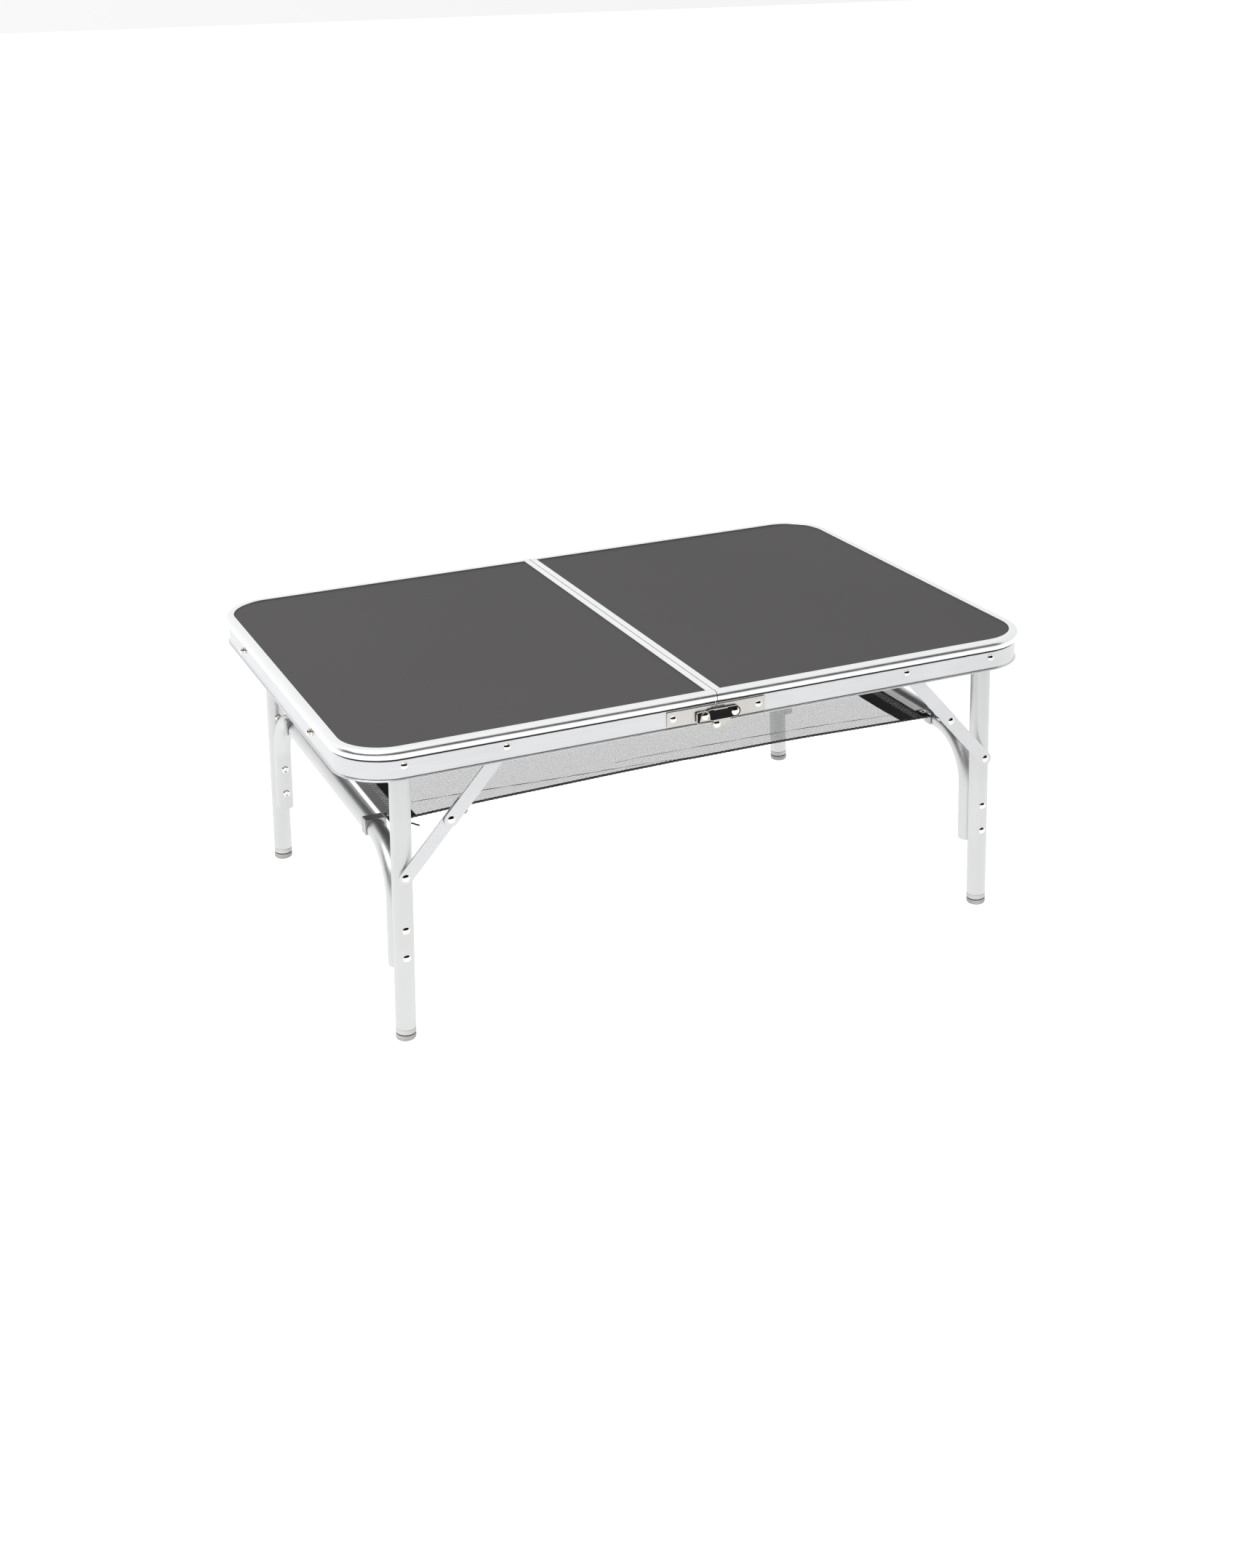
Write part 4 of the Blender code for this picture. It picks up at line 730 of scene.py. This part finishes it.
def make_hinge(where, face, mats):
    inner = SKIRT_FACE + 0.0003
    outer = inner + PLATE_THICKNESS
    top = PANEL_TOP - PLATE_TOP_DEPTH
    bottom = top - PLATE_HEIGHT
    lobe = HINGE_LOBE
    y = sorted((face * inner, face * outer))
    shoulder = math.degrees(math.asin((bottom - HINGE.z) / lobe))
    outline = rounded([(-PLATE_LENGTH, bottom, 0.0015), (-PLATE_LENGTH, top, 0.0015), (-0.0005, top, 0)])
    outline += arc((0, HINGE.z), lobe, 94, -180 - shoulder, 26)
    left = plate_object(f"{where}_left_plate", outline, *y)
    finish_piece(left, mats["plate"], "left_top", [f"{where}_left_hinge_plate"])
    clear = lobe + 0.0003
    outline = rounded([(0.0005, top, 0), (PLATE_LENGTH, top, 0.0015), (PLATE_LENGTH, bottom, 0.0015)])
    shoulder = math.degrees(math.asin((bottom - HINGE.z) / clear))
    outline += arc((0, HINGE.z), clear, shoulder, 90 - math.degrees(0.0005 / clear), 6)
    right = plate_object(f"{where}_right_plate", outline, *y)
    finish_piece(right, mats["plate"], "right_top", [f"{where}_right_hinge_plate"])
    arm_y = sorted((face * (outer + 0.0003), face * (outer + 0.0018)))
    arm = arc((0, HINGE.z), lobe, 80, 300, 20)
    arm += [(0.0170, HINGE.z + 0.0005), (0.0170, bottom + 0.0050), (0.0095, bottom + 0.0050)]
    piece = plate_object(f"{where}_hinge_arm", arm, *arm_y)
    finish_piece(piece, mats["plate"], "right_top")
    for name, side in SIDES.items():
        x, z = side * PLATE_RIVET_FROM_SEAM, PANEL_TOP - PLATE_RIVET_DEPTH
        bm = bmesh.new()
        head(bm, x, z, face, outer - 0.0001, inner=SKIRT_FACE - SKIRT_WALL)
        tail(bm, x, z, face, SKIRT_FACE - SKIRT_WALL)
        add_piece(f"{where}_{name}_plate_rivet", bm, mats["chrome"], f"{name}_top")
    bm = bmesh.new()
    head(bm, 0, HINGE.z, face, outer + 0.0019, radius=0.0050, height=0.0022, inner=inner)
    add_piece(f"{where}_pin", bm, mats["chrome"], "left_top", [f"{where}_hinge_pin"])
    make_latch(where, face, mats, outer)


def make_latch(where, face, mats, plate_outer):
    """Glossy lever with a bright edge, the stud that it hooks over and the post that it turns on."""
    pivot = JOINT[f"{where}_latch_lift"]
    stud_x = (low(f"{where}_latch_stud").x + high(f"{where}_latch_stud").x) / 2
    tip = max(abs(low(f"{where}_latch_stud").y), abs(high(f"{where}_latch_stud").y))
    bm = bmesh.new()
    head(bm, stud_x, pivot.z, face, plate_outer + 0.0042, radius=0.0045, height=tip - plate_outer - 0.0043,
         inner=plate_outer)
    cylinder_into(bm, 0.0036, plate_outer + 0.0003, plate_outer + 0.0044, (stud_x, 0, pivot.z),
                  (0, face, 0))
    add_piece(f"{where}_stud", bm, mats["chrome"], "left_top", [f"{where}_latch_stud"])
    inner, outer = HALF_WIDTH + LEVER_INNER, HALF_WIDTH + LEVER_OUTER
    outline = [(pivot.x + x, pivot.z + z) for x, z in lever_outline(stud_x - pivot.x)]
    lever = plate_object(f"{where}_lever", outline, *sorted((face * inner, face * outer)), bevel=0.0006)
    paint_lever(lever, mats, 1)
    finish_piece(lever, None, f"{where}_latch", [f"{where}_latch_lever"])
    bm = bmesh.new()
    y = sorted((face * (inner + 0.0002), face * (HALF_WIDTH + 0.0035)))
    box_into(bm, (pivot.x - 0.0290, y[0], pivot.z + 0.0062), (pivot.x - 0.0105, y[1], pivot.z + 0.0078))
    tab = soften(object_from_bmesh(f"{where}_thumb_tab", bm), 0.0004, 3)
    finish_piece(tab, mats["plate"], f"{where}_latch")
    bm = bmesh.new()
    head(bm, pivot.x, pivot.z, face, outer + 0.0001, radius=0.0050, height=0.0014, inner=plate_outer)
    cylinder_into(bm, SPACER_RADIUS, plate_outer, inner - 0.0002, (pivot.x, 0, pivot.z), (0, face, 0))
    add_piece(f"{where}_latch_post", bm, mats["chrome"], "right_top")


def paint_lever(lever, mats, axis):
    """Gloss on the lever's two broad faces, and bright metal on its edges."""
    for finish in ("lever", "chrome"):
        lever.data.materials.append(mats[finish])
    lever.modifiers["softened"].material = 1
    for polygon in lever.data.polygons:
        polygon.material_index = 0 if abs(polygon.normal[axis]) > 0.5 else 1


def lever_outline(reach):
    """Lever about its pivot, with a notch open downwards round the stud."""
    radius, notch, hook = 0.0072, 0.0051, 0.0060
    left = reach - notch
    outline = arc((0, 0), radius, -90, 90, 16)
    outline += [(reach + notch + 0.0010, radius), (reach + notch - 0.0010, radius - 0.0010)]
    outline += [(left - hook + 0.0012, radius - 0.0010), (left - hook, radius - 0.0028)]
    outline += [(left - hook, -radius + 0.0006), (left - hook + 0.0022, -radius - 0.0010)]
    outline += [(left - 0.0018, -radius - 0.0002)]
    outline += arc((reach, 0), notch, 180, 0, 16)
    outline += [(reach + notch + 0.0006, -radius + 0.0012), (reach + notch + 0.0026, -radius)]
    return outline


# ---------------------------------------------------------------- ends

def make_end_fittings(mats):
    skirt = HALF_LENGTH - SKIRT_INSET
    for where, face in FACES.items():
        node = f"{where}_end_catch"
        centre = (low(node) + high(node)) / 2
        bm = bmesh.new()
        profile = dome(0.0047, HALF_LENGTH + 0.0014, 0.0021)
        profile += [(0.0036, HALF_LENGTH + 0.0008), (0.0034, HALF_LENGTH - 0.0020),
                    (0.0052, skirt + 0.0006),
                    (0.0052, skirt + 0.0002), (0.0030, skirt), (0.0030, skirt - 0.0020), (0.0044,
                                                                                          skirt - 0.0021),
                    (0.0040, skirt - 0.0030), (0, skirt - 0.0030)]
        lathe_into(bm, profile, (0, centre.y, centre.z), (-1, 0, 0))
        add_piece(f"{where}_catch", bm, mats["chrome"], "left_top", [node])
        make_case_latch(where, face, mats, skirt)
    bm = bmesh.new()
    profile = dome(0.0032, skirt + 0.0001, 0.0012) + [(0.0020, skirt), (0.0020, skirt - 0.001),
                                                      (0, skirt - 0.001)]
    lathe_into(bm, profile, (0, 0, PANEL_TOP - 0.0150), (-1, 0, 0))
    add_piece("left_end_rivet", bm, mats["chrome"], "left_top")
    make_handle(mats, skirt)


def make_case_latch(where, face, mats, skirt):
    pivot = JOINT[f"{where}_case_latch_swing"]
    outline = lever_outline(CASE_LATCH_REACH)
    inner, outer = HALF_LENGTH + LEVER_INNER, HALF_LENGTH + LEVER_OUTER
    lever = plate_object(f"{where}_case_lever", outline, inner, outer, bevel=0.0006)
    turn = Matrix(((0, 1, 0, 0), (face, 0, 0, pivot.y), (0, 0, 1, pivot.z), (0, 0, 0, 1)))
    lever.data.transform(turn)
    fix = bmesh.new()
    fix.from_mesh(lever.data)
    bmesh.ops.recalc_face_normals(fix, faces=fix.faces)
    fix.to_mesh(lever.data)
    fix.free()
    paint_lever(lever, mats, 0)
    finish_piece(lever, None, f"{where}_case_latch", [f"{where}_case_latch"])
    bm = bmesh.new()
    profile = dome(0.0050, outer + 0.0001, 0.0014)
    profile += [(0.0030, outer), (0.0030, inner), (SPACER_RADIUS, inner - 0.0002),
                (SPACER_RADIUS, skirt), (0, skirt)]
    lathe_into(bm, profile, (0, pivot.y, pivot.z), (1, 0, 0))
    add_piece(f"{where}_case_post", bm, mats["chrome"], "right_top")


def make_handle(mats, skirt):
    """Bail handle with a moulded grip, on two saddles."""
    axis = JOINT["handle_swing"]
    half = (high("carry_handle").y - low("carry_handle").y) / 2 - 0.0050
    bottom = low("carry_handle").z
    rod, bend = 0.0019, 0.0050
    path = [Vector((axis.x, -half, axis.z)), Vector((axis.x, -half, bottom + 2 * bend))]
    path += [Vector((axis.x, -half + bend * (1 - math.cos(a)), bottom + 2 * bend - bend * math.sin(a)))
             for a in (math.radians(90 * step / 8) for step in range(1, 9))]
    path += [Vector((p.x, -p.y, p.z)) for p in reversed(path)]
    bm = bmesh.new()
    tube_into(bm, path, rod, 20)
    for end in (-half, half):
        cylinder_into(bm, 0.0016, end - 0.0048, end + 0.0048, (axis.x, 0, axis.z), (0, 1, 0), 20)
    add_piece("handle_bail", bm, mats["plate"], "handle", ["carry_handle"])
    bm = bmesh.new()
    length = half - 0.0065
    profile = [(0.0020, -length)]
    for step in range(25):
        share = -1 + 2 * step / 24
        profile.append((0.0036 + 0.0009 * math.cos(share * math.pi / 2) ** 2
                        - (0.0004 if step % 3 == 1 else 0), share * (length - 0.0004)))
    profile.append((0.0020, length))
    lathe_into(bm, profile, (axis.x, 0, bottom + bend), (0, 1, 0), 28, closed=True)
    add_piece("handle_grip", bm, mats["handle"], "handle")
    for where in FACES:
        paint(f"{where}_handle_bracket", mats["plate"])


# ---------------------------------------------------------------- net shelf

NET_HALF = BAR_AXIS.x - BAR_RADIUS - 0.0035
NET_HALF_WIDTH = BAR_STRAIGHT + 0.0010
# Black end band, and the open stripe within it, measured from each end of the net
NET_BANDS = {-1: (0.0340, 0.0050, 0.0200, 0.0011), 1: (0.0460, 0.0120, 0.0250, 0.0016)}
NET_PITCH = 0.0030
NET_TOP = BAR_AXIS.z + 0.0085
NET_SEGMENT = 0.0060
NET_SEAM = 0.1200
BINDING_RADIUS = 0.0016
BINDING_TWIST = 0.0060
# Each crease runs from one place along the net to another, at a distance in from the front edge.
CREASES = ((-0.340, 0.042, 0.020, 0.004), (-0.060, 0.046, 0.330, 0.024))


def crease_distance(crease, x, y):
    """Distance behind a crease, and how far along it the place is."""
    start, start_in, end, end_in = crease
    share = (x - start) / (end - start)
    return y + NET_HALF_WIDTH - start_in - (end_in - start_in) * share, share


def net_height(x, y):
    """Net's height over its flat place: taut from bar to bar, lower in the middle, with creases."""
    across = abs(y) / NET_HALF_WIDTH
    along = min(1, abs(x) / NET_HALF)
    lift = 0.0050 * (1 - along ** 2) * across ** 6
    sag = -0.0060 * (1 - along ** 2) * (1 - across ** 4)
    crease = 0.0
    for line in CREASES:
        distance, share = crease_distance(line, x, y)
        if 0 < share < 1:
            crease += 0.0035 * math.exp(-(distance / 0.0050) ** 2) * math.sin(math.pi * share) ** 0.5
    ripple = 0.0006 * math.sin(21 * x + 9 * y) * math.sin(17 * y - 5 * x) * (1 - along ** 2)
    return lift + sag + crease + ripple


def net_waist(x):
    """Share of the full width that is left where the net is pulled in between the bars."""
    return 1 - 0.020 * (1 - min(1, (x / NET_HALF) ** 2))


def net_place(x, y):
    return Vector((x, y * net_waist(x), NET_TOP + net_height(x, y)))


def make_net_part(name, x_start, x_end, mats):
    """A length of mesh with a twisted binding along its front and back edges."""
    columns = max(2, round(abs(x_end - x_start) / NET_SEGMENT))
    rows = round(2 * NET_HALF_WIDTH / 0.0040)
    bm = bmesh.new()
    uv_layer = bm.loops.layers.uv.new("cut")
    grid = []
    flat = {}
    for i in range(columns + 1):
        x = x_start + (x_end - x_start) * i / columns
        column = []
        for j in range(rows + 1):
            y = -NET_HALF_WIDTH + 2 * NET_HALF_WIDTH * j / rows
            vert = bm.verts.new(net_place(x, y))
            flat[vert] = (x, y)
            column.append(vert)
        grid.append(column)
    for i in range(columns):
        for j in range(rows):
            face = bm.faces.new((grid[i][j], grid[i + 1][j], grid[i + 1][j + 1], grid[i][j + 1]))
            for loop in face.loops:
                loop[uv_layer].uv = flat[loop.vert]
    for edge in (-1, 1):
        path = [net_place(x_start + (x_end - x_start) * i / columns, edge * NET_HALF_WIDTH)
                for i in range(columns + 1)]
        twisted_cord(bm, path)
    if x_start <= -NET_HALF:
        make_knot(bm)
    bm.normal_update()
    obj = object_from_bmesh(name, bm, outwards=False)
    for finish in ("net", "binding"):
        obj.data.materials.append(mats[finish])
    obj.data.shade_smooth()
    return obj


def twisted_cord(bm, path, radius=BINDING_RADIUS, lobes=3):
    """Cord of twisted strands along a path, as faces of the binding's material."""
    fine = []
    for first, second in zip(path, path[1:]):
        steps = max(1, round((second - first).length / 0.0012))
        fine += [first.lerp(second, step / steps) for step in range(steps)]
    fine.append(path[-1])
    sides = 12
    travelled = 0.0
    rings = []
    for index, point in enumerate(fine):
        along = (fine[min(index + 1, len(fine) - 1)] - fine[max(index - 1, 0)]).normalized()
        side = along.cross(Vector((0, 0, 1))).normalized()
        up = side.cross(along)
        ring = []
        for step in range(sides):
            angle = 2 * math.pi * step / sides
            twist = 2 * math.pi * travelled / BINDING_TWIST
            size = radius * (0.84 + 0.16 * math.cos(lobes * angle + twist))
            ring.append(bm.verts.new(point + size * (math.cos(angle) * side + math.sin(angle) * up)))
        rings.append(ring)
        if index + 1 < len(fine):
            travelled += (fine[index + 1] - point).length
    for first, second in zip(rings, rings[1:]):
        for face in bridge(bm, first, second):
            face.material_index = 1
    for ring in (rings[0], rings[-1]):
        bm.faces.new(ring).material_index = 1


def make_knot(bm):
    """Knotted end of the binding at the front left corner, with a short tail."""
    corner = net_place(-NET_HALF + 0.004, -NET_HALF_WIDTH)
    for shift in ((0, 0, 0), (0.0030, -0.0016, 0.0008), (0.0062, 0.0002, -0.0004)):
        centre = corner + Vector(shift)
        loop = [centre + 0.0022 * Vector((0.35 * math.sin(a), math.cos(a), math.sin(a)))
                for a in (2 * math.pi * step / 14 for step in range(14))]
        twisted_cord(bm, loop, 0.0012)
    loose_end = [corner + Vector((0.006 + 0.0030 * step, -0.0020 - 0.0006 * step, -0.0006 * step ** 1.3))
                 for step in range(9)]
    twisted_cord(bm, loose_end, 0.0011)


def make_net(mats):
    """Three lengths of mesh, left, middle and right, fixed where they lie."""
    parts = {
        "net_left": (-NET_HALF, -NET_SEAM, "left_legs", "left_top"),
        "net_middle": (-NET_SEAM, NET_SEAM, "left_top", "right_top"),
        "net_right": (NET_SEAM, NET_HALF, "right_top", "right_legs"),
    }
    for name, (start, end, first, second) in parts.items():
        part = make_net_part(name, start, end, mats)
        if name == "net_middle":
            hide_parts("net")
        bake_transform(part)


def make_net_bars(label, side, mats):
    """Flat bar in the end hem, and square clips that hold it to the crossbar."""
    body = f"{label}_net_bar"
    paint(f"{label}_net_strip", mats["tube"])
    for where in FACES:
        node = f"{label}_{where}_net_clip"
        y_low, y_high = low(node).y, high(node).y
        half = BAR_RADIUS + 0.0017
        centre = Vector((side * BAR_AXIS.x, BAR_AXIS.z))
        foot = -0.0060
        outer = rounded([(-half, foot, 0), (-half, half, 0.0030), (half, half, 0.0030), (half, foot, 0)])
        inner = BAR_RADIUS + 0.0003
        start = math.degrees(math.asin(foot / inner))
        outline = [tuple(centre + Vector(point)) for point in outer]
        outline += [tuple(centre + Vector(point)) for point in arc((0, 0), inner, start, 180 - start, 24)]
        clip = plate_object(f"{label}_{where}_saddle", outline, y_low, y_high, 0.0004)
        finish_piece(clip, mats["clip"], body, [node])
        make_clip_hook(f"{label}_{where}_hook", side, (y_low + y_high) / 2, half, mats, body)


def make_clip_hook(name, side, y, half, mats, body):
    """Flat arm from a clip to the bar in the hem, with its rivet."""
    x = sorted((side * (BAR_AXIS.x - half + 0.0006), side * (BAR_AXIS.x - half - 0.0110)))
    z = NET_TOP + 0.0016
    bm = bmesh.new()
    box_into(bm, (x[0], y - 0.0050, z), (x[1], y + 0.0050, z + 0.0012))
    arm = soften(object_from_bmesh(name, bm), 0.0004, 2)
    finish_piece(arm, mats["clip"], body)
    bm = bmesh.new()
    lathe_into(bm, dome(0.0030, z + 0.0011, 0.0013) + [(0.0018, z + 0.0010), (0, z + 0.0010)],
               (side * (BAR_AXIS.x - half - 0.0065), y, 0), (0, 0, 1))
    add_piece(f"{name}_rivet", bm, mats["chrome"], body)


def paint(node, mat):
    """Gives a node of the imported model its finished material."""
    obj = frame["nodes"][node]
    if not obj.material_slots:
        obj.data.materials.append(mat)
    for index in range(len(obj.material_slots)):
        obj.material_slots[index].material = mat


# ---------------------------------------------------------------- studio

def make_camera():
    forward = Vector((math.sin(CAMERA_AZIMUTH) * math.cos(CAMERA_DOWN),
                      math.cos(CAMERA_AZIMUTH) * math.cos(CAMERA_DOWN), -math.sin(CAMERA_DOWN)))
    right = Vector((math.cos(CAMERA_AZIMUTH), -math.sin(CAMERA_AZIMUTH), 0))
    up = right.cross(forward)
    right_rolled = math.cos(CAMERA_ROLL) * right + math.sin(CAMERA_ROLL) * up
    up_rolled = -math.sin(CAMERA_ROLL) * right + math.cos(CAMERA_ROLL) * up
    camera = bpy.data.cameras.new("camera")
    camera.sensor_fit = "HORIZONTAL"
    camera.sensor_width = 36
    camera.lens = CAMERA_LENS
    camera.clip_end = 100
    obj = bpy.data.objects.new("camera", camera)
    bpy.context.scene.collection.objects.link(obj)
    turn = Matrix((right_rolled, up_rolled, -forward)).transposed()
    obj.matrix_world = Matrix.Translation(CAMERA_PLACE) @ turn.to_4x4()
    bpy.context.scene.camera = obj


def make_floor():
    bm = bmesh.new()
    bmesh.ops.create_grid(bm, x_segments=8, y_segments=8, size=30)
    floor = object_from_bmesh("floor", bm)
    floor.data.materials.append(floor_material())


def make_dark_card():
    """Curved dark card behind the camera, which only shows in the polished metal."""
    centre = math.degrees(math.atan2(-0.90, -0.45))
    bm = bmesh.new()
    columns = []
    for step in range(33):
        angle = math.radians(centre - 78 + 156 * step / 32)
        x, y = 4.0 * math.cos(angle), 4.0 * math.sin(angle)
        columns.append([bm.verts.new((x, y, z)) for z in (0.03, 1.7, 3.4)])
    for first, second in zip(columns, columns[1:]):
        for level in range(2):
            bm.faces.new((first[level], second[level], second[level + 1], first[level + 1]))
    card = object_from_bmesh("dark_card", bm)
    black = surface("card_black", (0.004, 0.004, 0.004), (0.008, 0.008, 0.008), 0.9, 0.05, specular=0.0)
    card.data.materials.append(black)
    card.visible_camera = False
    card.visible_diffuse = False
    card.visible_shadow = False


def make_lights():
    """Bright soft room, a little brighter on the left, with a broad lamp above."""
    world = bpy.data.worlds.new("studio")
    bpy.context.scene.world = world
    world.use_nodes = True
    nodes, links = world.node_tree.nodes, world.node_tree.links
    background = nodes["Background"]
    split = nodes.new("ShaderNodeSeparateXYZ")
    links.new(nodes.new("ShaderNodeTexCoord").outputs["Generated"], split.inputs["Vector"])
    background.inputs["Color"].default_value = (1, 1, 1, 1)
    links.new(map_range(nodes, links, split.outputs["X"], 1.06, 0.86, -1, 1), background.inputs["Strength"])
    lamp = bpy.data.lights.new("lamp", "AREA")
    lamp.size = 2.0
    lamp.energy = 45
    obj = bpy.data.objects.new("lamp", lamp)
    bpy.context.scene.collection.objects.link(obj)
    obj.location = (-1.6, -0.9, 2.6)
    obj.rotation_euler = (Vector((0, 0, 0.3)) - obj.location).to_track_quat("-Z", "Y").to_euler()


def make_materials():
    brushed = (420, (0.06, 0.06, 1.0), 0.010, 0.0001)
    return {
        # The bead and seam strip take a brighter copy of the skirt's anodised finish: painted light from
        # above.
        "frame": surface("anodised_edge", (0.95, 0.955, 0.96), (0.91, 0.915, 0.92), 0.30, 0.04, 1.0,
                         brushed),
        "skirt": surface("anodised_skirt", (0.715, 0.725, 0.735), (0.675, 0.685, 0.695), 0.30, 0.04, 1.0,
                         brushed),
        "tube": surface("anodised_tube", (0.73, 0.735, 0.735), (0.68, 0.685, 0.685), 0.42, 0.06, 1.0),
        "link": surface("link_steel", (0.72, 0.73, 0.74), (0.67, 0.68, 0.69), 0.34, 0.08, 1.0),
        "plate": surface("hinge_steel", (0.66, 0.645, 0.62), (0.60, 0.585, 0.565), 0.30, 0.08, 1.0),
        "chrome": surface("rivet_chrome", (0.95, 0.91, 0.86), (0.88, 0.84, 0.79), 0.05, 0.02, 1.0,
                          (300, (1, 1, 1), 0.02, 0.0001)),
        "panel": surface("panel_laminate", (0.062, 0.059, 0.061), (0.057, 0.054, 0.056), 0.60, 0.05, 0.0,
                         (1500, (1, 1, 1), 0.12, 0.0002), patch=2.0, specular=0.15),
        "lever": surface("lever_gloss", (0.004, 0.004, 0.005), (0.010, 0.010, 0.011), 0.16, 0.04, 0.0,
                         patch=60,
                         specular=0.10),
        "handle": surface("handle_rubber", (0.016, 0.016, 0.017), (0.028, 0.028, 0.029), 0.55, 0.10,
                          patch=60),
        "clip": surface("clip_zinc", (0.60, 0.60, 0.60), (0.42, 0.42, 0.42), 0.36, 0.08, 1.0, patch=40),
        "collar": surface("foot_collar_grey", (0.60, 0.58, 0.57), (0.52, 0.50, 0.49), 0.50, 0.06, patch=60),
        "foot": surface("foot_cap_grey", (0.44, 0.43, 0.42), (0.32, 0.31, 0.31), 0.55, 0.08,
                        grain=(900, (1, 1, 1), 0.25, 0.0003), patch=60),
        # Near-black finish for the recessed band above the foot: painted shade of the gap between collar
        # and cap.
        "ring": surface("foot_gap_painted_shade", (0.010, 0.010, 0.010), (0.020, 0.020, 0.020), 0.50, 0.10,
                        patch=60),
        # Near-black finish for the groove's faces: painted shade in the groove under the bead.
        "groove": surface("groove_painted_shade", (0.020, 0.020, 0.021), (0.035, 0.035, 0.036), 0.60, 0.10,
                          patch=40),
        "net": net_material("net_mesh"),
        "binding": surface("net_binding", (0.012, 0.012, 0.013), (0.110, 0.105, 0.100), 0.80, 0.10,
                           patch=420,
                           specular=0.2),
    }


# ---------------------------------------------------------------- assembly

def main():
    make_camera()
    make_floor()
    make_dark_card()
    make_lights()
    mats = make_materials()
    for label, side in SIDES.items():
        paint(f"{label}_panel", mats["panel"])
        # The seam strip takes the brighter copy of the anodised finish: painted light from above.
        paint(f"{label}_seam_strip", mats["frame"])
        make_edge_frame(label, side, mats)
        make_top_rivets(label, side, mats["chrome"])
        for where, face in FACES.items():
            make_leg(label, side, where, face, mats)
        make_crossbar(label, side, mats)
        make_braces(label, side, mats)
        make_net_bars(label, side, mats)
    for where, face in FACES.items():
        make_hinge(where, face, mats)
    make_end_fittings(mats)
    make_net(mats)
    bpy.context.scene.view_settings.view_transform = "Standard"


main()
